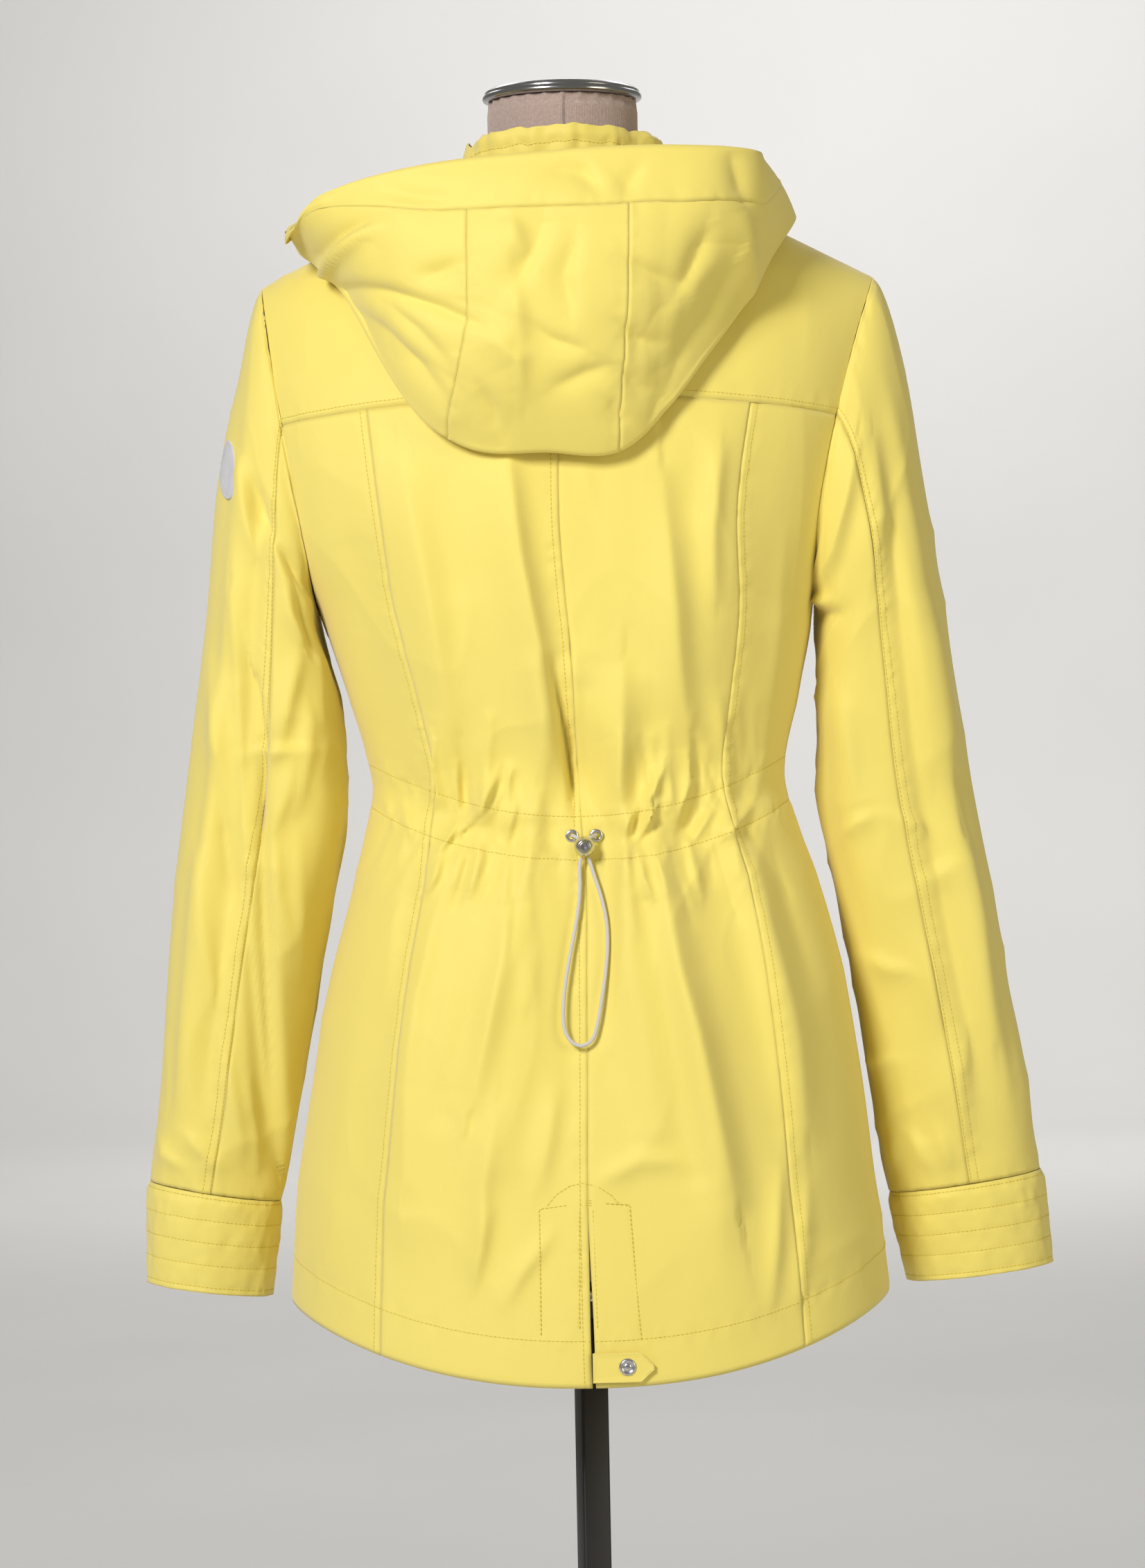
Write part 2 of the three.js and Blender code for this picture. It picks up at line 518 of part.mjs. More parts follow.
// Opens the centre back seam below the vent's top
function ventEdge(place, share, left) {
  const open = THREE.MathUtils.smoothstep(VENT_TOP - place.z, 0, VENT_SPREAD);
  if (share === 0) place.x += left * VENT_GAP * open;
  return place;
}

// The fronts stop at the zip
function zipEdge(place, share, left) {
  if (Math.abs(share) < 1e-9) place.x = left * (ZIP_WIDTH / 2 + SEAM / 2) + body('mid', place.z);
  return place;
}

// Sleeve section: from the inner edge round the back, the outer edge and the front
function sleeveRing(rows, at, turn) {
  const get = name => column(rows, 'at', name, at);
  const angle = turn * 2 * Math.PI;
  const c = Math.cos(angle), s = Math.sin(angle);
  return new THREE.Vector3(
    (get('outX') + get('inX')) / 2 - (get('outX') - get('inX')) / 2 * c,
    get('y') + get('deep') * Math.sign(s) * Math.abs(s) ** 0.9,
    (get('outZ') + get('inZ')) / 2 - (get('outZ') - get('inZ')) / 2 * c);
}

function sleevePlace(rows, left, turn, at) {
  const ring = sleeveRing(rows, at, turn);
  const t = ((turn % 1) + 1) % 1;
  const centre = sleeveRing(rows, at, 0).add(sleeveRing(rows, at, 0.5)).multiplyScalar(0.5);
  let out = 0;
  for (const fold of SLEEVE_FOLDS) {
    const off = (t - fold.turn) * 330 / fold.wide;
    const ends = THREE.MathUtils.smoothstep(at, fold.from, fold.from + 0.15)
      * (1 - THREE.MathUtils.smoothstep(at, fold.to - 0.15, fold.to));
    out += fold.deep * Math.exp(-off * off) * ends;
  }
  const outward = ring.clone().sub(centre).normalize();
  ring.addScaledVector(outward, out);
  const pull = Math.max(0, 1 - at / ARMHOLE_BLEND) ** 2;
  if (pull > 0) {
    const rim = armholeRim(turn, left);
    ring.lerp(rim.place.addScaledVector(rim.along, SEAM / 2), pull);
  }
  return ring;
}

function sleeveOut(rows, left, turn, at) {
  if (at < 1e-6) return armholeRim(turn, left).inward.negate();
  const limits = { u: [-2, 2], v: [0, 1] };
  return normalOf((u, v) => sleevePlace(rows, left, u, v), turn, at, left, limits);
}

function makeSleeves() {
  const rows = [...stops(0, 0.28, 5), ...stops(0.28, 1, 9).slice(1)];
  const turns = { top: stops(SLEEVE_BACK_SEAM, SLEEVE_FRONT_SEAM, 9),
    under: stops(SLEEVE_FRONT_SEAM - 1, SLEEVE_BACK_SEAM, 7) };
  const sides = [['left', 1, SLEEVE_LEFT, CUFF_LEFT], ['right', -1, SLEEVE_RIGHT, CUFF_RIGHT]];
  for (const [name, left, sleeve, cuff] of sides) {
    for (const piece of ['top', 'under']) {
      clothWall(`sleeve_${piece}_${name}`, (u, v) => sleevePlace(sleeve, left, u, v),
        (u, v) => sleeveOut(sleeve, left, u, v), turns[piece], rows);
    }
    const place = (u, v) => sleeveRing(cuff, v, u);
    const outward = (u, v) => {
      const centre = sleeveRing(cuff, v, 0).add(sleeveRing(cuff, v, 0.5)).multiplyScalar(0.5);
      return place(u, v).sub(centre).normalize();
    };
    clothWall(`cuff_${name}`, place, outward, stops(0, 1, 20).slice(0, 20), [0, 0.12, 0.5, 1],
      { round: true });
  }
}

// Collar: a ring that stands in the neck hole and opens at the centre front
function collarPlace(turn, up) {
  const angle = turn * Math.PI;
  const c = Math.cos(angle), s = Math.sin(angle);
  const neck = c > 0 ? NECK_BACK : NECK_FRONT;
  const deep = Math.abs(neck.y - NECK_MIDDLE);
  const dip = Math.abs(c);
  const flare = COLLAR_FLARE * up + 1.2 * Math.sin(COLLAR_WAVES * Math.PI * turn) * up;
  const out = flare - COLLAR_INSET;
  const foot = NECK_POINT.z + (neck.z - NECK_POINT.z) * dip ** 1.4 - CLOTH;
  const height = COLLAR_HEIGHT + (NECK_POINT.z - CLOTH - foot) * (c > 0 ? 0.2 : 0.75);
  return new THREE.Vector3((NECK_POINT.x + out) * s * -1, NECK_MIDDLE + (deep + out) * c, foot + height * up);
}

function collarOut(turn, up) {
  const place = collarPlace(turn, up);
  return new THREE.Vector3(place.x / NECK_POINT.x, (place.y - NECK_MIDDLE) / NECK_POINT.x, 0).normalize();
}

function makeCollar() {
  const end = 1 - (ZIP_WIDTH / 2 + SEAM) / (Math.PI * NECK_POINT.x);
  clothWall('collar', collarPlace, collarOut, stops(-end, end, 28), stops(0, 1, 4));
}

// A place over the body by its sideways distance and the way from back to front
function overBody(x, over) {
  const side = over <= 3 ? 1 : -1;
  const level = over <= 3 ? over : 6 - over;
  let s = x / SHOULDER_TIP.x;
  for (let i = 0; i < 3; i += 1) {
    const z = bodyHeight(s, level, side);
    s = THREE.MathUtils.clamp((x - body('mid', z)) / body('half', z), -1, 1);
  }
  const share = Math.asin(s) / (Math.PI / 2);
  const limits = { u: [-1, 1], v: [0, 2.97] };
  const calm = Math.min(level, 2.97);
  const out = normalOf((u, v) => bodyPlace(u, v, side), share, calm, -side, limits, 0.02);
  return { place: bodyPlace(share, level, side), out };
}

// Moves a place out sideways until it is clear of the collar
function clearOfCollar(place) {
  const deep = Math.abs((place.y > NECK_MIDDLE ? NECK_BACK : NECK_FRONT).y - NECK_MIDDLE);
  const turn = Math.atan2(-place.x / NECK_POINT.x, (place.y - NECK_MIDDLE) / deep) / Math.PI;
  const foot = collarPlace(turn, 0), head = collarPlace(turn, 1);
  const up = THREE.MathUtils.clamp((place.z - foot.z) / (head.z - foot.z), 0, 1);
  const face = collarPlace(turn, up).addScaledVector(collarOut(turn, up), HOOD_CLEAR);
  const reach = Math.hypot(face.x, face.y - NECK_MIDDLE);
  const now = Math.hypot(place.x, place.y - NECK_MIDDLE);
  if (now >= reach) return place;
  place.x *= reach / now;
  place.y = NECK_MIDDLE + (place.y - NECK_MIDDLE) * reach / now;
  return place;
}

// Hood section: the face edge, the belly, the fold at the bottom and the nape side
function hoodPlace(at, q) {
  const edge = new THREE.Vector3(...['x', 'y', 'z'].map(name => column(HOOD_EDGE, 'at', name, at)));
  const x = column(HOOD_FOLD, 'at', 'x', at), over = column(HOOD_FOLD, 'at', 'over', at);
  const { place: foot, out } = overBody(x, over);
  const neck = collarPlace(at * 0.93, 0.12);
  neck.addScaledVector(collarOut(at * 0.93, 0.12), HOOD_CLEAR);
  const fold = foot.clone().addScaledVector(out, HOOD_REST + HOOD_TURN);
  const down = fold.clone().sub(neck);
  down.addScaledVector(out, -down.dot(out)).normalize();
  const upper = fold.clone().addScaledVector(out, HOOD_TURN);
  if (q <= 0.6) {
    const t = q / 0.6, r = 1 - t;
    const first = edge.clone().lerp(upper, 0.33).addScaledVector(out, column(HOOD_FOLD, 'at', 'high', at));
    const second = edge.clone().lerp(upper, 0.72).addScaledVector(out, column(HOOD_FOLD, 'at', 'low', at));
    return edge.multiplyScalar(r * r * r).addScaledVector(first, 3 * r * r * t)
      .addScaledVector(second, 3 * r * t * t).addScaledVector(upper, t * t * t);
  }
  if (q <= 0.75) {
    const angle = (q - 0.6) / 0.15 * Math.PI;
    return fold.addScaledVector(out, HOOD_TURN * Math.cos(angle))
      .addScaledVector(down, HOOD_TURN * Math.sin(angle));
  }
  const t = (q - 0.75) / 0.25;
  const neckOver = Math.abs(at) < 0.5 ? 2.97 : 3.03;
  const way = overBody(x + (neck.x - x) * t, over + (neckOver - over) * t);
  const end = overBody(neck.x, neckOver);
  const rest = way.place.addScaledVector(way.out, HOOD_REST);
  rest.add(neck.sub(end.place.addScaledVector(end.out, HOOD_REST)).multiplyScalar(t ** 4));
  return clearOfCollar(rest);
}

function hoodOut(at, q) {
  if (q > 0.999) return new THREE.Vector3(0, 0, -1);
  return normalOf(hoodPlace, at, q, 1, { u: [-1, 1], v: [0, 1] }, 0.012);
}

function makeHood() {
  const rows = [...stops(HOOD_BAND, 0.6, 6), 0.65, 0.7, ...stops(0.75, 1, 6)];
  const columns = { hood_side_left: stops(-1, HOOD_SEAM_LEFT, 13),
    hood_centre: stops(HOOD_SEAM_LEFT, HOOD_SEAM_RIGHT, 5), hood_side_right: stops(HOOD_SEAM_RIGHT, 1, 13) };
  const trim = HOOD_TRIM;
  for (const [name, us] of Object.entries(columns)) clothWall(name, hoodPlace, hoodOut, us, rows, { trim });
  const whole = [...new Set(Object.values(columns).flat())];
  clothWall('hood_band', hoodPlace, hoodOut, whole, [0, HOOD_BAND / 2, HOOD_BAND], { trim });
}

// Points in a disc or other outline from a square of parameters
function discPoint(u, v) {
  return [u * Math.sqrt(1 - v * v / 2), v * Math.sqrt(1 - u * u / 2)];
}

// A piece laid on the back: moved out along the back's own normal
function onBack(x, z, lift) {
  const s = THREE.MathUtils.clamp((x - body('mid', z)) / body('half', z), -1, 1);
  const share = Math.asin(s) / (Math.PI / 2);
  const hem = hemHeight(s, 1);
  const level = z <= UNDERARM ? (z - hem) / (UNDERARM - hem) : 1;
  const place = (u, v) => bodyPlace(u, v, 1);
  const out = normalOf(place, share, level, -1, { u: [-1, 1], v: [0, 1] });
  return { place: place(share, level).addScaledVector(out, lift), out };
}

// The highest reach of the back behind a small round piece
function backReach(x, z, radius) {
  const ring = stops(0, 2 * Math.PI, 12).map(a =>
    onBack(x + radius * Math.cos(a), z + radius * Math.sin(a), 0).place.y);
  return Math.max(...ring, onBack(x, z, 0).place.y);
}

// Lathe solid with its axis along +Y, from a list of radius and height
function turnedBehind(profile, sides) {
  return new THREE.LatheGeometry(profile.map(([r, h]) => new THREE.Vector2(r, h)), sides);
}

// Tab over the vent's foot, a pointed strap sewn at its left end, and its snap
function makeVent() {
  const place = (u, v) => {
    const x = TAB.left + (TAB.right - TAB.left) * u;
    const half = TAB.half * Math.min(1, (TAB.left - TAB.right) * (1.02 - u) / TAB.point * 0.9 + 0.08);
    return onBack(x, TAB.middle + half * v, TAB.lift + TAB.thick).place;
  };
  const outward = (u, v) => {
    const x = TAB.left + (TAB.right - TAB.left) * u;
    return onBack(x, TAB.middle, 0).out;
  };
  clothWall('vent_tab', place, outward, [0, 0.2, 0.4, 0.6, 0.8, 0.9, 1], [-1, -0.4, 0.4, 1],
    { thick: TAB.thick, trim: 0 });
  const seat = onBack(SNAP.x, SNAP.z, TAB.lift + TAB.thick + SEAM + 0.1);
  const snap = turnedBehind([[0, 0], [SNAP.radius, 0], [SNAP.radius, 0.9], [SNAP.radius - 1.2, SNAP.thick],
    [0, SNAP.thick]], 20);
  const mesh = addMesh('vent_snap', snap, MATERIALS.metal);
  mesh.position.copy(seat.place);
  mesh.quaternion.setFromUnitVectors(new THREE.Vector3(0, 1, 0), seat.out);
}

// Eyelets, the lock with its button, the elastic between them and its free loop
function makeWaistCord() {
  const y = backReach(LOCK.x, EYELET.z, EYELET.gap / 2 + EYELET.rim);
  const ring = [[EYELET.hole, 0], [EYELET.rim, 0], [EYELET.rim, 0.5], [EYELET.rim - 0.8, EYELET.thick],
    [EYELET.hole + 0.5, EYELET.thick], [EYELET.hole, 0]];
  const lockY = y + LOCK.radius + 1.2;
  for (const [name, left] of [['left', 1], ['right', -1]]) {
    const x = LOCK.x + left * EYELET.gap / 2;
    const seat = backReach(x, EYELET.z, EYELET.rim) + SEAM + 0.3;
    const eyelet = addMesh(`waist_eyelet_${name}`, turnedBehind(ring, 18), MATERIALS.metal);
    eyelet.position.set(x, seat, EYELET.z);
    const lockSide = new THREE.Vector3(left * 0.55, 0.1, 0.83).normalize();
    const end = new THREE.Vector3(LOCK.x, lockY, LOCK.z).addScaledVector(lockSide, LOCK.radius + 0.9);
    const start = new THREE.Vector3(x, seat + 0.2, EYELET.z);
    const bend = new THREE.Vector3(x - left * 0.4, seat + 3, EYELET.z + 0.4);
    const route = new THREE.CatmullRomCurve3([start, bend, end]);
    addMesh(`waist_cord_${name}`, cordShape(route, 5), MATERIALS.elastic);
  }
  const ball = new THREE.SphereGeometry(LOCK.radius, 14, 8);
  const lock = addMesh('cord_lock', ball, MATERIALS.metal);
  lock.position.set(LOCK.x, lockY, LOCK.z);
  const button = turnedBehind([[0, 0], [LOCK.button, 0], [LOCK.button, 2], [LOCK.button - 0.8, 2.8],
    [0, 2.8]], 16);
  addMesh('cord_lock_button', button, MATERIALS.metal)
    .position.set(LOCK.x, lockY + LOCK.radius + SEAM, LOCK.z);
  const loop = new THREE.CatmullRomCurve3(LOOP_ROUTE.map(place => new THREE.Vector3(...place)));
  addMesh('cord_loop', cordShape(loop, LOOP_STEPS), MATERIALS.elastic);
}

// Round elastic along a route
function cordShape(route, steps) {
  const section = new THREE.Shape();
  stops(0, 2 * Math.PI, 8).slice(0, 8).forEach((a, i) => {
    const [px, py] = [ELASTIC / 2 * Math.cos(a), ELASTIC / 2 * Math.sin(a)];
    if (i === 0) section.moveTo(px, py); else section.lineTo(px, py);
  });
  return new THREE.ExtrudeGeometry(section, { steps, extrudePath: route, curveSegments: 1 });
}

// Round patch, bent over the sleeve it is sewn on
function makeBadge() {
  const girth = 330, length = 640;
  const at = (u, v) => {
    const [a, b] = discPoint(u, v);
    return [BADGE.turn + a * BADGE.radius / girth, BADGE.at - b * BADGE.radius / length];
  };
  const outward = (u, v) => sleeveOut(SLEEVE_LEFT, 1, ...at(u, v));
  const place = (u, v) => sleevePlace(SLEEVE_LEFT, 1, ...at(u, v))
    .addScaledVector(outward(u, v), BADGE.lift + BADGE.thick);
  clothWall('sleeve_badge', place, outward, stops(-1, 1, 8), stops(-1, 1, 8),
    { thick: BADGE.thick, trim: 0, material: MATERIALS.badge });
}

// Centre front: the closed chain, its slider and the pull tab on the slider's pin
function makeZip(frontRows) {
  const chain = (u, v) => {
    const front = v <= 3 ? bodyPlace(0, v, -1) : collarPlace(1, v - 3);
    if (v > 3) front.y += 0.4;
    return front.setX(u * (ZIP_WIDTH / 2) + (v <= 3 ? body('mid', front.z) : 0));
  };
  const outward = (u, v) => {
    const away = normalOf(chain, 0, v, 1, { u: [-1, 1], v: [0, 4] }, 0.02);
    return away.y > 0 ? away.negate() : away;
  };
  clothWall('zip_chain', chain, outward, [-1, 1], [...frontRows, ...stops(3, 4, 3).slice(1)]);
}

// Slider with two ears and a pin, and the pull tab whose eye turns on the pin
function makeSlider() {
  const front = collarPlace(1, (SLIDER.z - collarPlace(1, 0).z) / COLLAR_HEIGHT * 0.5).y;
  const seat = front - SEAM - 0.8;
  const pin = { y: seat - SLIDER.thick - PIVOT.reach, z: SLIDER.z + 2 };
  const box = (wide, deep, high, x, y, z) =>
    solid(new THREE.BoxGeometry(wide, deep, high).translate(x, y, z));
  const bar = (radius, length, y, z, sides) => solid(new THREE.CylinderGeometry(radius, radius, length, sides)
    .rotateZ(Math.PI / 2).translate(0, y, z));
  const ear = PIVOT.radius * 2.4;
  let slider = box(SLIDER.wide, SLIDER.thick, SLIDER.high, 0, seat - SLIDER.thick / 2, SLIDER.z);
  for (const left of [1, -1]) {
    const deep = SLIDER.thick + PIVOT.reach + ear / 2 - 1;
    slider = slider.add(box(1.2, deep, ear, left * (SLIDER.wide / 2 - 0.6), seat - 1 - deep / 2, pin.z));
  }
  slider = slider.add(bar(PIVOT.radius, SLIDER.wide - 1, pin.y, pin.z, 16));
  addMesh('zip_slider', shapeOf(slider), MATERIALS.metal);
  const bore = PIVOT.radius + PIVOT.clearance, rim = bore + PIVOT.wall;
  const wide = SLIDER.wide - 2.4 - 2 * PIVOT.clearance;
  let pull = bar(rim, wide, pin.y, pin.z, 20);
  pull = pull.add(box(wide, PULL.thick, rim + 3, 0, pin.y, pin.z - (rim + 3) / 2));
  pull = pull.add(box(PULL.wide, PULL.thick, PULL.long - rim, 0, pin.y, pin.z - rim - (PULL.long - rim) / 2));
  pull = pull.subtract(bar(bore, wide + 2, pin.y, pin.z, 20));
  addMesh('zip_pull', shapeOf(pull), MATERIALS.metal);
}

// Dress form: torso and neck in one smooth closed piece
function formPoint(turn, z) {
  const get = name => column(FORM, 'z', name, z);
  const angle = turn * 2 * Math.PI;
  const slope = (SHOULDER_TIP.x - NECK_POINT.x) / (NECK_POINT.z - SHOULDER_TIP.z);
  const ridge = SHOULDER_TIP.x - (z + FORM_SEAT - SHOULDER_TIP.z) * slope;
  const half = z < FORM_NECK.foot ? Math.min(get('half'), ridge) : FORM_NECK.radius;
  const s = Math.sin(angle), c = Math.cos(angle);
  const deep = z < FORM_NECK.foot ? get(c > 0 ? 'back' : 'front') : FORM_NECK.radius;
  const lean = THREE.MathUtils.smoothstep(z, UPPER_START, FORM_NECK.foot) * NECK_MIDDLE;
  const square = z < FORM_NECK.foot ? 0.9 : 1;
  return new THREE.Vector3(FORM_NECK.x + half * Math.sign(s) * Math.abs(s) ** square,
    lean + deep * Math.sign(c) * Math.abs(c) ** square, z);
}

function makeForm() {
  const levels = [718, 750, 820, 900, 980, 1035, 1090, 1158, 1230, 1290, 1330, 1358, 1374, 1388,
    1402, 1416, 1428, 1438, 1452, FORM_NECK.top];
  const sides = 26;
  const points = levels.flatMap(z => stops(0, 1, sides).slice(0, sides).map(turn => formPoint(turn, z)));
  const faces = [];
  for (let j = 0; j < levels.length - 1; j += 1) {
    for (let i = 0; i < sides; i += 1) {
      const [a, b] = [j * sides + i, j * sides + (i + 1) % sides];
      faces.push(a, b, b + sides, a, b + sides, a + sides);
    }
  }
  const top = (levels.length - 1) * sides;
  for (let i = 1; i < sides - 1; i += 1) faces.push(0, i + 1, i, top, top + i, top + i + 1);
  addMesh('form_body', closedShape(points, faces), MATERIALS.linen);
}

// Neck cap, socket, pole and base plate: turned or extruded pieces stacked on one axis
function makeStand() {
  const upright = (name, profile, x, z, sides, material) => {
    const mesh = addMesh(name, turnedBehind(profile, sides), material);
    mesh.rotation.x = Math.PI / 2;
    mesh.position.set(x, 0, z);
    return mesh;
  };
  const cap = [[0, 0], [CAP.radius - 2, 0], [CAP.radius, 1.5], [CAP.radius, CAP.thick - 1.5],
    [CAP.radius - 2, CAP.thick], [0, CAP.thick]];
  upright('neck_cap', cap, FORM_NECK.x, FORM_NECK.top + SEAM, 36, MATERIALS.metal)
    .position.y = NECK_MIDDLE;
  const foot = FORM[0].z - SEAM;
  const inner = POLE.side * Math.SQRT1_2 + SEAM;
  const socket = [[inner, -SOCKET.height], [SOCKET.radius, -SOCKET.height], [SOCKET.radius, -4],
    [SOCKET.radius + 14, -4], [SOCKET.radius + 14, 0], [inner, 0], [inner, -SOCKET.height]];
  upright('form_socket', socket, POLE.x, foot, 20, MATERIALS.black);
  const screw = turnedBehind([[0, 0], [4.2, 0], [4.2, 2.5], [3, 3.6], [0, 3.6]], 16);
  addMesh('socket_screw', screw, MATERIALS.metal)
    .position.set(POLE.x, SOCKET.radius + SEAM, foot - SOCKET.height * 0.55);
  const poleTop = foot - SEAM;
  const height = poleTop - BASE.thick - SEAM;
  const pole = addMesh('pole', new THREE.BoxGeometry(POLE.side, POLE.side, height), MATERIALS.black);
  pole.rotation.z = THREE.MathUtils.degToRad(POLE.turn);
  pole.position.set(POLE.x, 0, BASE.thick + SEAM + height / 2);
  const hub = [[inner, 0], [BASE.hub, 0], [BASE.hub, 6], [SOCKET.radius, 12], [SOCKET.radius, BASE.hubHeight],
    [inner, BASE.hubHeight], [inner, 0]];
  upright('base_collar', hub, POLE.x, BASE.thick + SEAM, 20, MATERIALS.black);
  const plate = [[0, 0], [BASE.radius, 0], [BASE.radius, BASE.thick - 3], [BASE.radius - 3, BASE.thick],
    [0, BASE.thick]];
  upright('base_plate', plate, 0, 0, 48, MATERIALS.black);
}

makeBody();
makeSleeves();
makeCollar();
makeHood();
makeVent();
makeWaistCord();
makeBadge();
makeSlider();
makeForm();
makeStand();

export default object;
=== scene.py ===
"""A hooded yellow windbreaker on a limbless dress form with a pole stand, seen from behind.
Millimetres in the sums, metres in the meshes. The jacket's back faces +Y, its left side is +X."""

import bpy
import numpy as np
from mathutils import Euler, Matrix, Vector


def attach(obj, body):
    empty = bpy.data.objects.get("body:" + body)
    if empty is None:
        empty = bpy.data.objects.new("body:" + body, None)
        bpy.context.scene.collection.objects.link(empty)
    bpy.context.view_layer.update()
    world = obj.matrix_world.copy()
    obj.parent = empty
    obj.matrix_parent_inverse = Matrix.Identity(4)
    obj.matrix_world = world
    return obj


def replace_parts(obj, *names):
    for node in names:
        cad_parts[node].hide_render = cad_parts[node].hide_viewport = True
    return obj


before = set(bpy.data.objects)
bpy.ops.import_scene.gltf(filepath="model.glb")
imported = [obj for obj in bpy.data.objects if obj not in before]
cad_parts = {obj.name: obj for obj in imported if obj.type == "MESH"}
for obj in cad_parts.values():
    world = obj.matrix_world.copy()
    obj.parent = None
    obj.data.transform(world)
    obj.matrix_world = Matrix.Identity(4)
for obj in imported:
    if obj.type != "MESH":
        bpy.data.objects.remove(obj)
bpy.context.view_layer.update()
STAND_BODY, PULL_BODY = "jacket_and_stand", "zip_pull"

# The camera stands 3.1 m behind the jacket at the height of its shoulder blades, with a long
# lens and a slight roll to the right.
IMAGE_WIDTH, IMAGE_HEIGHT = 1652, 2263
FOCAL_PIXELS = 6705
CAMERA_PLACE = (0.0028, 3.1, 1.038)
CAMERA_ROLL = 0.0192

lens = bpy.data.cameras.new("long_lens")
lens.sensor_fit, lens.sensor_height = "VERTICAL", 36
lens.lens = 36 * FOCAL_PIXELS / IMAGE_HEIGHT
camera = bpy.data.objects.new("camera", lens)
bpy.context.scene.collection.objects.link(camera)
facing = Euler((np.pi / 2, 0, np.pi)).to_matrix().to_4x4()
camera.matrix_world = Matrix.Translation(CAMERA_PLACE) @ facing @ Matrix.Rotation(-CAMERA_ROLL, 4, "Z")
bpy.context.scene.camera = camera

# The elastic that draws the waist in hangs out of the lock as one free loop: a round braided
# cord, white, 2.4 mm thick, whose two ends go up into the lock.
ELASTIC = 2.4
ELASTIC_COLOUR = (0.74, 0.72, 0.69)
LOOP_ROUTE = np.array([
    (-1.6, 121, 990.4), (-0.7, 122, 984), (-0.8, 123.5, 973), (0.4, 125.5, 960), (2.6, 128, 947),
    (6.2, 131, 930), (9.6, 134, 912), (11.4, 136.5, 896), (11.2, 138, 884), (8.4, 139, 876),
    (3.2, 139.5, 871.6), (-2.6, 139.5, 871.8), (-7.4, 139, 876), (-10.6, 138, 886),
    (-13.2, 136.5, 900), (-15.8, 134, 916), (-17.6, 131, 934), (-17.2, 128.5, 950),
    (-14, 126, 966), (-10, 123.5, 979), (-6.6, 121, 990.4)])


class Value:
    """A shader socket that takes part in sums: each operator adds one Math node."""

    def __init__(self, paint, socket):
        self.paint, self.socket = paint, socket

    def _sum(self, operation, first, second):
        return self.paint.add("ShaderNodeMath", {"operation": operation}, {0: first, 1: second})

    def __add__(self, other): return self._sum("ADD", self, other)
    def __radd__(self, other): return self._sum("ADD", other, self)
    def __sub__(self, other): return self._sum("SUBTRACT", self, other)
    def __rsub__(self, other): return self._sum("SUBTRACT", other, self)
    def __mul__(self, other): return self._sum("MULTIPLY", self, other)
    def __rmul__(self, other): return self._sum("MULTIPLY", other, self)
    def __truediv__(self, other): return self._sum("DIVIDE", self, other)
    def __pow__(self, other): return self._sum("POWER", self, other)


class Paint:
    """A material whose nodes are added by one method and end in one Principled shader."""

    def __init__(self, name):
        self.material = bpy.data.materials.new(name)
        self.material.use_nodes = True
        self.tree = self.material.node_tree
        self.tree.nodes.clear()

    def add(self, kind, settings=None, sockets=None, out=0):
        node = self.tree.nodes.new(kind)
        for key, value in (settings or {}).items():
            if key == "stops":
                ramp = node.color_ramp.elements
                while len(ramp) < len(value):
                    ramp.new(0.5)
                for stop, (at, colour) in zip(ramp, value):
                    stop.position, stop.color = at, (*colour, 1)
            else:
                setattr(node, key, value)
        for key, value in (sockets or {}).items():
            if isinstance(value, Value):
                self.tree.links.new(value.socket, node.inputs[key])
            else:
                node.inputs[key].default_value = value
        return Value(self, node.outputs[out])

    def where(self, output="Object"):
        """The piece's own coordinates: metres, or its UV map, which is in metres too."""
        return self.add("ShaderNodeTexCoord", out=output)

    def noise(self, scale, detail=2.0, rough=0.5, at=None):
        """Soft random values from 0 to 1 with `scale` lumps to a metre."""
        return self.add("ShaderNodeTexNoise", {}, {"Vector": at or self.where(), "Scale": scale,
                        "Detail": detail, "Roughness": rough}, out="Fac")

    def threads(self, pitch, direction, at):
        """Waves from 0 to 1 across a direction of the UV map, one to each thread."""
        return self.add("ShaderNodeTexWave", {"bands_direction": direction},
                        {"Vector": at, "Scale": 2 * np.pi / pitch / 20}, out="Fac")

    def mix(self, share, first, second):
        return self.add("ShaderNodeMix", {"data_type": "RGBA"}, {0: share, 6: (*first, 1)
                        if isinstance(first, tuple) else first, 7: (*second, 1)
                        if isinstance(second, tuple) else second}, out=2)

    def bump(self, height, distance, strength=1.0):
        return self.add("ShaderNodeBump", {}, {"Height": height, "Distance": distance, "Strength": strength})

    def finish(self, colour, **sockets):
        named = {key.replace("_", " ").title(): value for key, value in sockets.items()}
        named["Base Color"] = (*colour, 1) if isinstance(colour, tuple) else colour
        named = {key.replace("Ior", "IOR"): value for key, value in named.items()}
        surface = self.add("ShaderNodeBsdfPrincipled", {}, named)
        end = self.tree.nodes.new("ShaderNodeOutputMaterial")
        self.tree.links.new(surface.socket, end.inputs["Surface"])
        return self.material


def quads(across, along, wrap=False):
    """Faces of a grid of points numbered row by row, closed on itself across if wrap."""
    i, j = np.meshgrid(np.arange(across if wrap else across - 1), np.arange(along - 1), indexing="ij")
    k = (i + 1) % across
    return np.stack([i * along + j, k * along + j, k * along + j + 1, i * along + j + 1], -1).reshape(-1, 4)


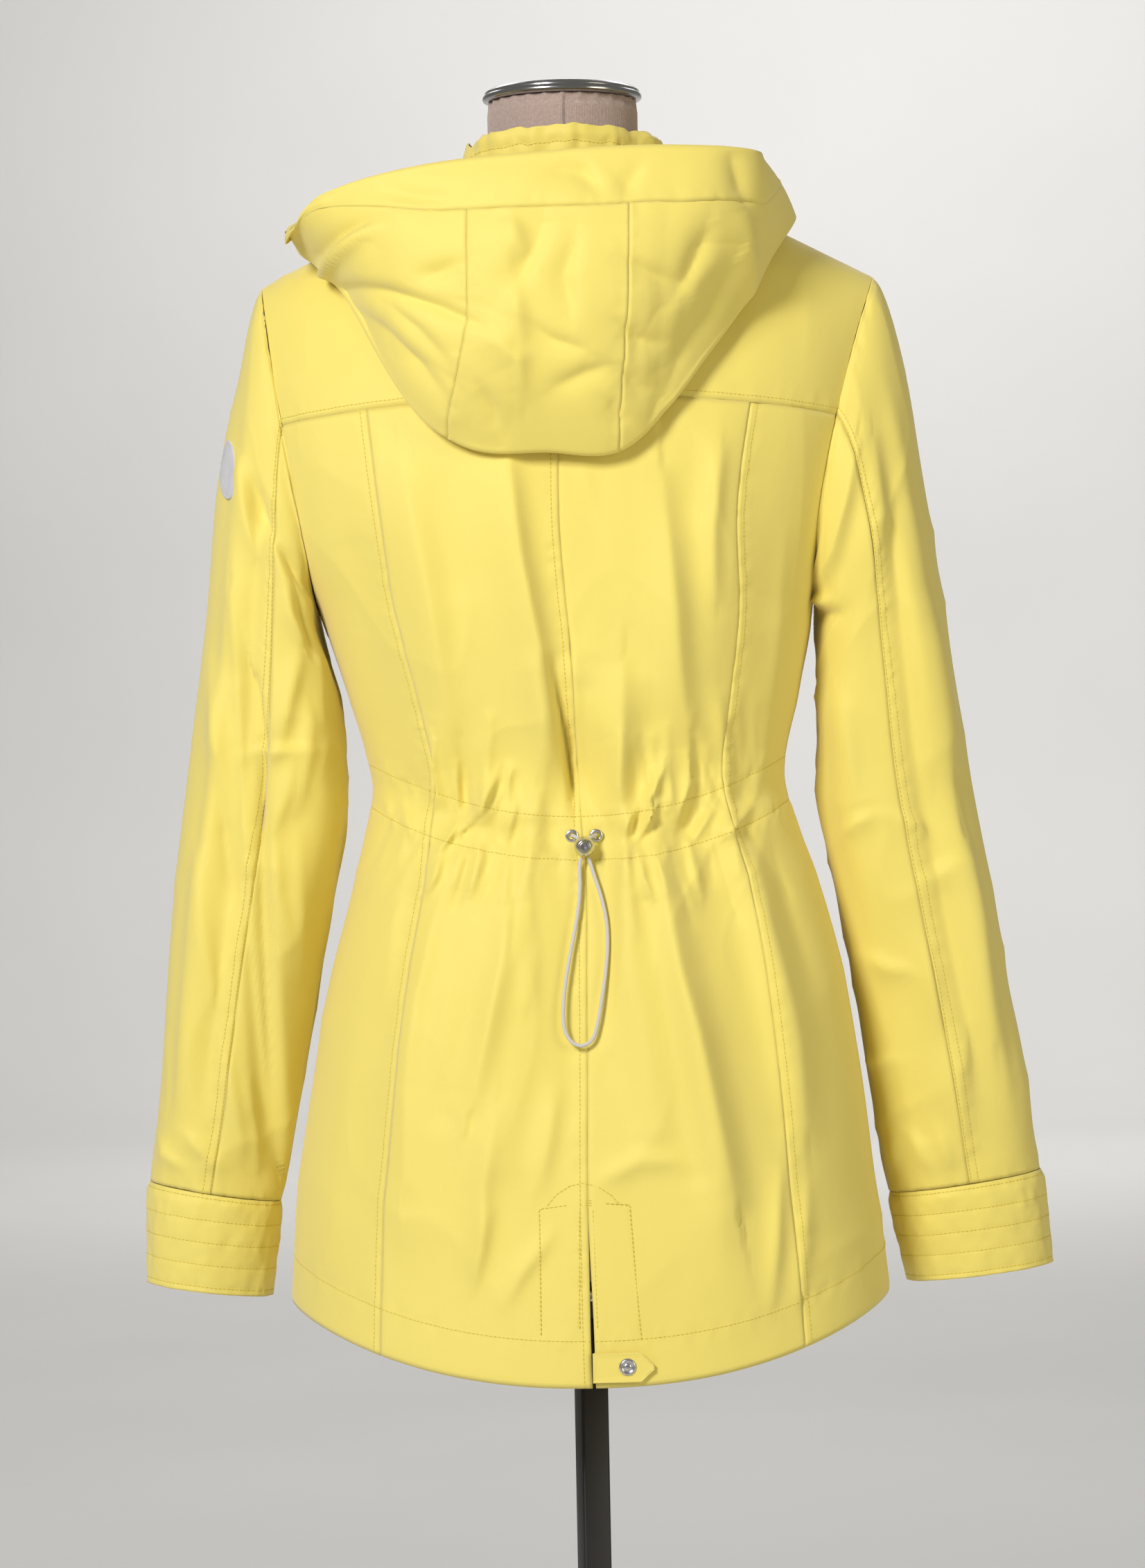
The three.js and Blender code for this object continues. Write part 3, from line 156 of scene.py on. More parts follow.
def piece(name, points, faces, material, uv=None, body=STAND_BODY):
    """A smooth mesh object at the origin from points in millimetres and the numbers of its faces."""
    mesh = bpy.data.meshes.new(name)
    faces = faces.tolist() if isinstance(faces, np.ndarray) else faces
    mesh.from_pydata((np.asarray(points).reshape(-1, 3) / 1000).tolist(), [], faces)
    mesh.polygons.foreach_set("use_smooth", np.ones(len(mesh.polygons), bool))
    if uv is not None:
        corner = np.empty(len(mesh.loops), np.int32)
        mesh.loops.foreach_get("vertex_index", corner)
        layer = mesh.uv_layers.new(name="UVMap")
        layer.data.foreach_set("uv", (np.asarray(uv).reshape(-1, 2)[corner] / 1000).ravel())
    mesh.materials.append(material)
    shown = bpy.data.objects.new(name, mesh)
    bpy.context.scene.collection.objects.link(shown)
    if body:
        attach(shown, body)
    return shown


def smooth_way(route, steps):
    """A curve through a route's points whose tangent at each point is half the way between its
    neighbours, cut into even steps of length."""
    ends = np.vstack([2 * route[0] - route[1], route, 2 * route[-1] - route[-2]])
    t = np.linspace(0, len(route) - 1, 12 * len(route))
    i = np.minimum(t.astype(int), len(route) - 2)
    f = (t - i)[:, None]
    p0, p1, p2, p3 = (ends[i + k] for k in range(4))
    way = 0.5 * (2 * p1 + (p2 - p0) * f + (2 * p0 - 5 * p1 + 4 * p2 - p3) * f ** 2
                 + (3 * p1 - p0 - 3 * p2 + p3) * f ** 3)
    run = np.r_[0, np.cumsum(np.linalg.norm(np.diff(way, axis=0), axis=1))]
    even = np.linspace(0, run[-1], steps)
    return np.stack([np.interp(even, run, way[:, c]) for c in range(3)], -1), run[-1]


def tube(way, radius, sides, reference=(0, 1, 0)):
    """A round section carried along a way: each ring is turned by the way's direction and by the
    part of the reference direction that is square to it. Ends are closed by a point."""
    forward = np.gradient(way, axis=0)
    forward /= np.linalg.norm(forward, axis=1, keepdims=True)
    side = np.cross(forward, reference)
    side /= np.linalg.norm(side, axis=1, keepdims=True)
    up = np.cross(side, forward)
    turn = np.linspace(0, 2 * np.pi, sides, endpoint=False)[:, None, None]
    ring = way + radius * (np.cos(turn) * side + np.sin(turn) * up)
    run = np.r_[0, np.cumsum(np.linalg.norm(np.diff(way, axis=0), axis=1))]
    uv = np.stack(np.broadcast_arrays(turn[..., 0] * radius, run), -1)
    faces = [tuple(q[::-1]) for q in quads(sides, len(way), True).tolist()]
    faces += [tuple(range(0, sides * len(way), len(way))),
              tuple(range(len(way) - 1, sides * len(way), len(way)))[::-1]]
    return ring.reshape(-1, 3), faces, uv.reshape(-1, 2)


def braided_elastic():
    paint = Paint("braided_elastic")
    uv = paint.where("UV")
    left = paint.add("ShaderNodeMapping", {}, {"Vector": uv, "Rotation": (0, 0, 0.9)})
    right = paint.add("ShaderNodeMapping", {}, {"Vector": uv, "Rotation": (0, 0, -0.9)})
    braid = paint.threads(0.0009, "X", left) * paint.threads(0.0009, "X", right)
    return paint.finish(paint.mix(braid * 0.6 + 0.25, (0.5, 0.48, 0.45), ELASTIC_COLOUR),
                        roughness=0.75, normal=paint.bump(braid, 0.0002, 0.6))


elastic = braided_elastic()
loop_way, loop_length = smooth_way(LOOP_ROUTE, 220)
points, faces, uv = tube(loop_way, ELASTIC / 2, 12)
cord_loop = piece("elastic_loop", points, faces, elastic, uv)
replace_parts(cord_loop, "cord_loop")

# The body is cut from thin coated nylon: a centre back and two side backs on each side of the
# spine, a yoke over the shoulders, and two plain fronts. Every seam is pressed and topstitched,
# and the elastic in its casing gathers the waist.
UNDERARM, YOKE_SEAM, YOKE_DROP = 1158, 1288, 12
HEM_BACK, HEM_SIDE, HEM_FRONT = 654, 700, 692
SHOULDER_X, SHOULDER_Z = 203, 1372
NECK_X, NECK_Z, NECK_MIDDLE = 66, 1440, 5
NECK_BACK_Y, NECK_BACK_Z, NECK_FRONT_Y, NECK_FRONT_Z = 66, 1415, -72, 1376
UPPER_START = 1230
PRINCESS = 0.476
NECK_SHARE = np.arcsin(NECK_X / SHOULDER_X) / (np.pi / 2)
VENT_TOP, VENT_GAP, VENT_SPREAD = 770, 1.1, 90
ZIP_WIDTH, SEAM = 9, 0.3
LOCK_X, LOCK_Z, LOCK_CALM, EYELET_Z = -4, 997.8, 17, 1004.6
CLOTH_SHELL = 0.9
CLOTH_YELLOW = (0.82, 0.68, 0.125)
CLOTH_PALE = (0.84, 0.71, 0.16)


def table(names, text):
    """A table from its lines of numbers, one name for each column."""
    rows = np.array([line.split() for line in text.strip().splitlines()], float)
    return dict(zip(names.split(), rows.T))


BODY = table("z mid half full back front square", """
    640 -4 203 203 151 157 2.3
    700 -3 199 199 150 155 2.3
    766 -2 193 193 146 150 2.35
    840 -3 183 183 139 143 2.4
    914 -4 170 170 130 133 2.45
    975 -5 154 154 119 122 2.5
    1006 -3 145 145 111 115 2.5
    1043 -1 137 137 104 112 2.5
    1099 1 150 150 112 120 2.5
    1136 3 160 160 117 126 2.5
    1158 5 165 165 119 128 2.5
    1209 8 169 182 121 130 2.5
    1275 7 181 198 120 124 2.5
    1330 4 193 210 112 112 2.5
    1372 0 203 223 101 98 2.5
    1376 0 203 224 100 97 2.5
    1450 0 203 230 82 80 2.5""")
BACK_FOLDS = table("x z to_x to_z wide deep", """
    -4 1010 -3 1095 11 -8
    12 1018 26 1110 11 4.5
    -22 1018 -40 1100 12 4
    44 1022 72 1150 15 3.5
    -58 1025 -70 1190 15 4
    -84 1050 -104 1270 17 5
    92 1060 106 1230 18 4
    128 1080 140 1190 12 -5
    -128 1090 -138 1200 12 -5
    24 985 52 800 15 4.5
    66 985 112 760 20 4
    46 975 88 830 11 -4
    -26 985 -44 820 13 5
    -58 985 -96 700 17 5
    -42 975 -72 790 11 -4.5
    -92 985 -128 820 14 -4
    -118 985 -152 760 15 4
    104 990 150 780 16 -4
    128 1000 172 740 15 4
    4 975 6 830 9 -2.5""")
FRONT_FOLDS = table("x z to_x to_z wide deep", """
    58 985 92 780 18 4
    -52 985 -84 800 17 4
    112 985 150 770 16 -4
    -108 985 -146 790 16 -4
    86 1060 96 1180 17 3.5
    -82 1060 -98 1190 17 3.5""")
GATHER_WAVES, GATHER_DEEP, GATHER_REACH, GATHER_HOLLOW = 9, 2.6, 34, 3
CASING_MIDDLE, CASING_RISE, CASING_HALF = 1003, 37, 14


def column(rows, key, name, at):
    """A smooth curve through one column of a table, with the tangents of its neighbours."""
    x, y = rows[key], rows[name]
    k = np.arange(len(x))
    after, before = np.minimum(k + 1, len(x) - 1), np.maximum(k - 1, 0)
    slope = (y[after] - y[before]) / (x[after] - x[before])
    i = np.clip(np.searchsorted(x, at) - 1, 0, len(x) - 2)
    span = x[i + 1] - x[i]
    t = np.clip((at - x[i]) / span, 0, 1)
    s = t * t * (3 - 2 * t)
    return (y[i] * (1 - s) + y[i + 1] * s
            + span * (t * (1 - t) ** 2 * slope[i] - t * t * (1 - t) * slope[i + 1]))


def ease(x, low, high):
    """0 below low, 1 above high, and a smooth step between."""
    t = np.clip((x - low) / (high - low), 0, 1)
    return t * t * (3 - 2 * t)


def neck_dip(s):
    return np.sqrt(np.maximum(0, 1 - (s * SHOULDER_X / NECK_X) ** 2))


def ridge_height(s, side):
    """Height of the shoulder seam, which falls in a straight line from the neck point, or of the
    neck seam between the neck points."""
    x = np.abs(s) * SHOULDER_X
    line = SHOULDER_Z + (NECK_Z - SHOULDER_Z) / (SHOULDER_X - NECK_X) * (SHOULDER_X - x)
    neck = NECK_Z + (np.where(side > 0, NECK_BACK_Z, NECK_FRONT_Z) - NECK_Z) * neck_dip(s) ** 1.4
    return np.where(x >= NECK_X, line, neck)


def hem_height(s, side):
    """The hem drops behind and is nearly level in front."""
    back = HEM_BACK + (HEM_SIDE - HEM_BACK) * np.abs(s) ** 2.2
    return np.where(side > 0, back, HEM_FRONT + (HEM_SIDE - HEM_FRONT) * s * s)


def body_height(s, level, side):
    """Height at a level: 0 hem, 1 underarm, 2 yoke seam, 3 shoulder or neck seam."""
    hem, yoke = hem_height(s, side), YOKE_SEAM - YOKE_DROP * s * s
    low = hem + (UNDERARM - hem) * level
    middle = UNDERARM + (yoke - UNDERARM) * np.clip(level - 1, 0, 1) ** 1.5
    high = yoke + (ridge_height(s, side) - yoke) * np.sin(np.clip(level - 2, 0, 1) * np.pi / 2)
    return np.where(level <= 1, low, np.where(level <= 2, middle, high))


def strokes(folds, x, z, power=2.0):
    """Height of a set of straight folds: each is a bell across its line, swelling to its middle.
    A power under 2 gives it a sharper back."""
    out = 0
    for fx, fz, to_x, to_z, wide, deep in zip(*folds.values()):
        dx, dz = to_x - fx, to_z - fz
        t = np.clip(((x - fx) * dx + (z - fz) * dz) / (dx * dx + dz * dz), 0, 1)
        off = np.hypot(x - fx - dx * t, z - fz - dz * t) / wide
        out = out + deep * np.exp(-off ** power) * (0.35 + 0.65 * np.sin(np.pi * (0.15 + 0.7 * t)))
    return out


def gathers(s, z):
    """Waves of the drawn waist, dying away above and below the casing, and the casing's hollow."""
    off = (z - CASING_MIDDLE - CASING_RISE * s * s) / GATHER_REACH
    wave = np.sin(GATHER_WAVES * np.pi * s + 1.3 * np.sin(5 * s) + 0.6)
    calm = 1 - np.exp(-((s / 0.09) ** 2))
    return GATHER_DEEP * wave * calm * np.exp(-off * off) - GATHER_HOLLOW * np.exp(-off * off * 9)


def body_depth(s, z, side, folds):
    """Depth of the body: a squared round of the table's sizes, drawn over the shoulder to the
    ridge of the shoulder or neck seam."""
    square = column(BODY, "z", "square", z)
    round_ = np.minimum(1, np.abs(s) * column(BODY, "z", "half", z) / column(BODY, "z", "full", z))
    flat = np.where(side > 0, column(BODY, "z", "back", z), column(BODY, "z", "front", z))
    out = side * (flat * np.maximum(0, 1 - round_ ** square) ** (1 / square) + folds)
    level = np.clip((z - UPPER_START) / (ridge_height(s, side) - UPPER_START), 0, 1)
    wide = ease(np.abs(s), 0.24, 0.42)
    keep = (1 - level ** 1.9) * (1 - wide) + wide * (1 - level ** 2.3) ** (1 / 2.3)
    ridge = NECK_MIDDLE + (np.where(side > 0, NECK_BACK_Y, NECK_FRONT_Y) - NECK_MIDDLE) * neck_dip(s)
    return ridge * (1 - keep) + out * keep


def body_place(share, level, side, extra=None):
    """The body's outer face: share goes from the spine or zip, 0, to the side seams, -1 and 1."""
    s = np.sin(share * np.pi / 2)
    z = body_height(s, level, side)
    x = column(BODY, "z", "mid", z) + column(BODY, "z", "half", z) * s
    edge = 1 - np.abs(s) ** 6
    low = 0.35 + 0.65 * ease(z, HEM_BACK, 760)
    lock = 1 - np.exp(-((x - LOCK_X) ** 2 + (z - EYELET_Z) ** 2) / LOCK_CALM ** 2)
    folds = np.where(side > 0, strokes(BACK_FOLDS, x, z), strokes(FRONT_FOLDS, x, z)) + gathers(s, z)
    if extra is not None:
        folds = folds + extra(x, z, s)
    return np.stack([x, body_depth(s, z, side, folds * edge * low * lock), z], -1)


LATTICE = np.random.default_rng(7).uniform(-1, 1, (64, 64))


def crumple(a, b):
    """Smooth random heights from -1 to 1: random values on a square lattice, eased between."""
    i, j = np.floor(a).astype(int), np.floor(b).astype(int)
    f, g = a - i, b - j
    f, g = f * f * (3 - 2 * f), g * g * (3 - 2 * g)
    i, j, k, m = i % 64, j % 64, (i + 1) % 64, (j + 1) % 64
    return ((LATTICE[i, j] * (1 - f) + LATTICE[k, j] * f) * (1 - g)
            + (LATTICE[i, m] * (1 - f) + LATTICE[k, m] * f) * g)


def creases(a, b):
    """Sharp-backed ridges: 1 along the lines where a warped crumple crosses 0, falling to -1."""
    bent = crumple(a + 0.6 * crumple(a * 0.7 + 9, b * 0.7), b + 0.6 * crumple(a * 0.7, b * 0.7 + 5))
    return 1 - 2 * np.abs(bent) ** 0.7


def outward(grid, sign):
    """Unit normals of a grid of points, from the differences along its rows and columns."""
    normal = np.cross(np.gradient(grid, axis=0), np.gradient(grid, axis=1)) * sign
    return normal / np.maximum(np.linalg.norm(normal, axis=-1, keepdims=True), 1e-9)


def runs(grid):
    """Distance of each point along its column and along its row, from the grid's first corner."""
    across = np.linalg.norm(np.diff(grid, axis=0), axis=-1)
    along = np.linalg.norm(np.diff(grid, axis=1), axis=-1)
    return (np.vstack([np.zeros((1, grid.shape[1])), np.cumsum(across, axis=0)]),
            np.hstack([np.zeros((grid.shape[0], 1)), np.cumsum(along, axis=1)]))


def edge_runs(grid):
    """Distance of each point from the four edges: first and last column, first and last row."""
    across, along = runs(grid)
    return {"first": across, "last": across[-1] - across, "foot": along, "head": along[:, -1:] - along}


def pressed(distance):
    """A pressed seam: the cloth turns in at its edge and swells beside it."""
    return -0.3 * np.exp(-(distance / 0.9) ** 2) + 0.13 * np.exp(-((distance - 4) / 3) ** 2)


def stitched(distance, run, seed=0.0, pull=0.55):
    """A row of stitching: a shallow groove with short puckers across it."""
    pucker = crumple(run / 4.2 + seed, distance / 9 + seed) + 0.5 * crumple(run / 2.3, seed + distance / 9)
    return -0.3 * np.exp(-(distance / 1.1) ** 2) + pull * pucker * np.exp(-(distance / 5.5) ** 2)


def line_at(grid, normal, distance, offset, axis, lift=0.12):
    """The points of a grid, one to each row or column, where a growing distance reaches offset."""
    points, directions, gap = ((grid, normal, distance) if axis == 0 else
                               (grid.swapaxes(0, 1), normal.swapaxes(0, 1), distance.T))
    if gap[0].mean() > gap[-1].mean():
        points, directions, gap = points[::-1], directions[::-1], gap[::-1]
    i = np.clip((gap < offset).sum(0), 1, len(gap) - 1)
    k = np.arange(gap.shape[1])
    f = np.clip((offset - gap[i - 1, k]) / np.maximum(gap[i, k] - gap[i - 1, k], 1e-6), 0, 1)[:, None]
    return (points[i - 1, k] * (1 - f) + points[i, k] * f + directions[i, k] * lift, directions[i, k])


STITCH_PITCH, STITCH_LONG, STITCH_WIDE, STITCH_HIGH = 2.9, 2.3, 0.52, 0.4
sewing = {}


def sew(group, line, directions, pitch=STITCH_PITCH, skip=0.0):
    """Keeps a row of stitches for a group: places at an even pitch along a line of points."""
    run = np.r_[0, np.cumsum(np.linalg.norm(np.diff(line, axis=0), axis=1))]
    at = np.arange(pitch / 2 + skip, run[-1] - skip, pitch)
    if len(at) < 2:
        return
    place = np.stack([np.interp(at, run, line[:, c]) for c in range(3)], -1)
    up = np.stack([np.interp(at, run, directions[:, c]) for c in range(3)], -1)
    sewing.setdefault(group, []).append((place, np.gradient(place, axis=0), up))


def sewn_threads(group, material, long=STITCH_LONG):
    """Makes a group's stitches: each is a bead, five sides round and pointed at both ends."""
    place, along, up = (np.vstack(part) for part in zip(*sewing[group]))
    along = along / np.linalg.norm(along, axis=1, keepdims=True)
    side = np.cross(along, up)
    side /= np.maximum(np.linalg.norm(side, axis=1, keepdims=True), 1e-9)
    up = np.cross(side, along)
    turn = np.linspace(0, 2 * np.pi, 5, endpoint=False) + np.pi / 2
    rings = [(x * long / 2, 1.0) for x in (-0.6, 0.6)]
    bead = np.array([(-long / 2, 0, 0), *((x, r * np.cos(a) * STITCH_WIDE / 2, r * np.sin(a) * STITCH_HIGH / 2)
                     for x, r in rings for a in turn), (long / 2, 0, 0)])
    faces = [(0, 1 + (k + 1) % 5, 1 + k) for k in range(5)]
    faces += [(1 + k, 1 + (k + 1) % 5, 6 + (k + 1) % 5, 6 + k) for k in range(5)]
    faces += [(6 + k, 6 + (k + 1) % 5, 11) for k in range(5)]
    points = (place[:, None] + bead[:, 0, None] * along[:, None] + bead[:, 1, None] * side[:, None]
              + bead[:, 2, None] * up[:, None])
    numbers = np.arange(len(place)) * len(bead)
    shown = [tuple(n + k for k in face) for n in numbers.tolist() for face in faces]
    return piece(f"stitching_{group}", points, shown, material)


def coated_nylon(name, deep, pale):
    """Thin coated cloth: fine plain weave, faint crinkles, and a colour that drifts a little."""
    paint = Paint(name)
    uv, drift = paint.where("UV"), paint.noise(7, 3)
    weave = paint.threads(0.0006, "X", uv) + paint.threads(0.0006, "Y", uv)
    crinkle = paint.noise(38, 4, 0.55)
    height = weave * 0.04 + crinkle
    return paint.finish(paint.mix(drift, deep, pale), roughness=0.58 + drift * 0.1,
                        specular_ior_level=0.4, sheen_weight=0.25, sheen_roughness=0.6,
                        normal=paint.bump(height, 0.0009, 0.4))


nylon = coated_nylon("coated_nylon", CLOTH_YELLOW, CLOTH_PALE)
thread = Paint("thread").finish((0.70, 0.56, 0.07), roughness=0.6)


def cloth(node, grid, sign, relief, material=None):
    """A piece of cloth: its grid moved out by its relief, with a thin wall grown inwards. Its length and width are
    measured over the smooth form, but nothing keeps them."""
    across, along = runs(grid)
    normal = outward(grid, sign)
    shape = grid + normal * relief[..., None]
    faces = quads(*grid.shape[:2])
    faces = faces if sign > 0 else faces[:, ::-1]
    uv = np.stack([across, along], -1)
    shown = piece(f"cloth_{node}", shape, faces, material or nylon, uv)
    wall = shown.modifiers.new("wall", "SOLIDIFY")
    wall.thickness, wall.offset = CLOTH_SHELL / 1000, -1
    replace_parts(shown, node)
    cell = np.cross(grid[1:, :-1] - grid[:-1, :-1], grid[:-1, 1:] - grid[:-1, :-1])
    area = np.linalg.norm(cell, axis=-1).sum() / 1e6
    width, length = max(across[-1].max(), 10) / 1000, along[:, -1].max() / 1000
    length = min(length, area / 0.31 / width)
    return shape, outward(shape, sign)


def waist_puckers(seed, count=150):
    """Short random folds that stand off the casing's two rows of stitching, up and down."""
    rng = np.random.default_rng(seed)
    s = rng.uniform(-0.98, 0.98, count)
    up = rng.choice([-1, 1], count)
    z = CASING_MIDDLE + CASING_RISE * s * s + up * CASING_HALF * rng.uniform(0.2, 1.1, count)
    x = 146 * s
    long = rng.uniform(12, 60, count)
    return {"x": x, "z": z, "to_x": x + rng.normal(0, 0.16, count) * long + 0.16 * s * long * (up < 0) * 3,
            "to_z": z + up * long, "wide": rng.uniform(2.6, 6.5, count),
            "deep": rng.uniform(0.7, 2.3, count) * rng.choice([-1, 1], count, p=[0.4, 0.6])}


def drape_lines(text):
    """Bent folds, one to a line: height, reach to the left and to the right of someone who looks
    down along it, then the places across and up that it runs through."""
    rows = [np.array(line.split(), float) for line in text.strip().splitlines()]
    return [(row[0], row[1], row[2], row[3:].reshape(-1, 2)) for row in rows]


def draped(folds, x, z):
    """Height of bent folds: each falls away from its line by its two reaches and fades at its ends."""
    height = np.zeros(np.shape(x))
    for deep, left, right, way in folds:
        long = np.linalg.norm(np.diff(way, axis=0), axis=1)
        start = np.r_[0, np.cumsum(long)]
        gap, off, share = np.full(height.shape, 1e9), height * 0, height * 0
        for k, (dx, dz) in enumerate(np.diff(way, axis=0)):
            px, pz = x - way[k, 0], z - way[k, 1]
            t = np.clip((px * dx + pz * dz) / long[k] ** 2, 0, 1)
            far = np.hypot(px - dx * t, pz - dz * t)
            near = far < gap
            gap = np.where(near, far, gap)
            off = np.where(near, dx * pz - dz * px, off)
            share = np.where(near, (start[k] + t * long[k]) / start[-1], share)
        reach = np.where(off > 0, left, right)
        height += deep * np.exp(-(gap / reach) ** 1.5) * np.sin(np.pi * (0.08 + 0.84 * share)) ** 0.7
    return height


BACK_DRAPES = drape_lines("""
    12 26 7  40 1249  33 1187  21 1119  11 1052  6 1014
    8.5 6 18  1 1114  -3 1061  -4 1014
    -11 5 4.5  16 1115  8 1070  2 1034  0 1009
    7 20 13  109 1246  94 1165  84 1098  77 1049
    9 26 9  -59 1234  -63 1185  -67 1118  -73 1060
    7 16 8  -31 1114  -29 1069  -24 1025
    5 9 5  -97 1251  -91 1202  -91 1157
    7 10 11  -139 1201  -132 1116  -122 1050  -113 1014
    6.5 8 7  -93 1090  -97 1050  -98 1014
    10 24 10  30 994  43 964  49 932  59 888  70 839
    4 9 6  16 980  22 945  33 901
    8.5 20 10  80 991  96 947  108 898  115 845  116 787
    5 12 8  111 993  120 952  127 898
    7 9 6  -27 989  -26 949  -22 909  -15 869
    14 32 10  -50 1004  -55 966  -64 917  -75 877  -85 827  -95 774
    12.5 20 10  -109 999  -119 965  -131 916  -140 871  -143 817
    -7 8 8  -124 987  -137 947  -150 906
    5 14 8  56 830  64 786  67 741
    4 10 6  15 847  22 811  28 785
    3.5 7 5  -14 788  -36 798  -59 797
    3.5 7 4  23 749  41 727  51 709
    3.5 7 4  62 768  67 741  72 719
    5 7 5  -126 786  -123 742  -118 702
    5 7 5  -144 777  -141 737  -137 706
    5.5 5 2.6  75 1019  82 1007  89 997
    5.5 5 2.6  60 1025  69 1015  78 1007
    5 5 2.6  51 1045  56 1035  61 1026
    5 5 3  39 1027  43 1013  47 998
    5 5 3  18 1013  22 1003  27 995
    6.5 5 2.6  -39 1023  -33 1013  -29 1002
    6.5 5 2.6  -53 1026  -46 1013  -38 1001
    5.5 5 2.6  -56 1048  -51 1035  -45 1023
    5.5 6 3  -73 1038  -69 1024  -65 1010
    5.5 6 3  -88 1020  -81 1010  -76 1001
    6.5 6 3  -113 1022  -106 1013  -98 1004
    4 5 3  114 1028  111 1018  107 1007
    4 5 3  125 1029  122 1020  119 1011
    4 5 3  -10 1039  -9 1025  -10 1012
    5 6 3  89 993  92 981  98 969
    5 6 3  63 993  66 981  70 969
    5.5 6 3  -40 991  -42 978  -47 964
    5 6 3  -71 1000  -74 984  -79 966
""")
PUCKERS_BACK, PUCKERS_FRONT = waist_puckers(3), waist_puckers(11, 110)


def back_detail(x, z, s):
    """Folds and puckers of the back. Nothing rises where the free loop of elastic lies."""
    folds = 1.3 * draped(BACK_DRAPES, x, z) + 1.4 * strokes(PUCKERS_BACK, x, z, 1.4)
    away = ease(np.hypot((x - 2) / 22, (z - 950) / 90), 0.9, 1.7)
    return (np.where(folds > 0, folds * away, folds)
            + 1.2 * crumple(x / 34 + 3, z / 120) + 0.5 * crumple(x / 15, z / 60 + 2))


def front_detail(x, z, s):
    return strokes(PUCKERS_FRONT, x, z, 1.4) * 1.4 + 1.4 * crumple(x / 40 + 20, z / 130 + 7)


def levels(low, high):
    """Rows of a body piece: even, and closer together round the waist."""
    rows = np.concatenate([np.linspace(0, 0.58, 84), np.linspace(0.58, 0.84, 92)[1:],
                           np.linspace(0.84, 1, 30)[1:], np.linspace(1, 2, 50)[1:], np.linspace(2, 3, 46)[1:]])
    return rows[(rows >= low - 1e-9) & (rows <= high + 1e-9)]


def casing_rows(grid, share, sides):
    """Distance of each point from the two rows of stitching along the waist's casing."""
    s = np.sin(share * np.pi / 2)
    off = grid[..., 2] - CASING_MIDDLE - CASING_RISE * s * s
    return off - CASING_HALF, off + CASING_HALF


HEM_TURN = 30
HEM_WAVE = 1.2


def body_piece(node, low, high, count, side, level_low, level_high, seams, extra):
    """One panel of the body: its grid, with pressed seams, casing, hem and rows of stitching."""
    share, level = np.meshgrid(np.linspace(low, high, count), levels(level_low, level_high), indexing="ij")
    grid = body_place(share, level, side, extra)
    if side < 0:
        s = np.sin(share * np.pi / 2)
        half = column(BODY, "z", "half", grid[..., 2])
        inset = (ZIP_WIDTH + SEAM) / 2
        grid[..., 0] += np.sign(low + high) * inset * (1 - np.abs(s))
    if side > 0 and level_low == 0:
        open_ = ease(VENT_TOP - grid[..., 2], 0, VENT_SPREAD)
        grid[..., 0] += np.sign(low + high) * VENT_GAP * open_ * np.exp(-(share / 0.03) ** 2)
    gap = edge_runs(grid)
    run = grid[..., 2]
    relief = 0.9 * creases(grid[..., 0] / 46 + 2, run / 80) * ease(gap["foot"], 4, 60)
    for edge, stitch in seams.items():
        along = run if edge in ("first", "last") else grid[..., 0]
        relief = relief + pressed(gap[edge])
        for offset in stitch:
            relief = relief + stitched(gap[edge] - offset, along, offset + low)
    if level_low == 0:
        relief = relief + stitched(gap["foot"] - HEM_TURN, grid[..., 0], 2 + low, 0.7)
        relief = relief - 0.5 * np.exp(-(gap["foot"] / 1.2) ** 2)
        for row in casing_rows(grid, share, side):
            relief = relief + stitched(row, grid[..., 0], 5 + low, 0.8)
    sign = -side
    shape, normal = cloth(node, grid, sign, relief)
    group = "back" if side > 0 else "front"
    for edge, stitch in seams.items():
        for offset in stitch:
            sew(group, *line_at(shape, normal, gap[edge], offset, 0 if edge in ("first", "last") else 1))
    if level_low == 0:
        sew(group, *line_at(shape, normal, gap["foot"], HEM_TURN, 1))
        for row in casing_rows(grid, share, side):
            sew(group, *line_at(shape, normal, row - row.min(), -row.min(), 1))
    return shape, normal, gap


body_piece("back_centre_left", 0, PRINCESS, 60, 1, 0, 2, {"first": (5,), "last": (), "head": ()}, back_detail)
body_piece("back_centre_right", -PRINCESS, 0, 60, 1, 0, 2, {"first": (), "last": (), "head": ()}, back_detail)
body_piece("back_side_left", PRINCESS, 1, 46, 1, 0, 2, {"first": (5,), "last": (), "head": ()}, back_detail)
body_piece("back_side_right", -1, -PRINCESS, 46, 1, 0, 2, {"first": (), "last": (5,), "head": ()}, back_detail)
body_piece("back_yoke", -1, 1, 150, 1, 2, 3, {"foot": (4.5,)}, back_detail)
body_piece("front_left", 0, 1, 50, -1, 0, 3, {"first": (6,), "last": ()}, front_detail)
body_piece("front_right", -1, 0, 50, -1, 0, 3, {"first": (), "last": (6,)}, front_detail)

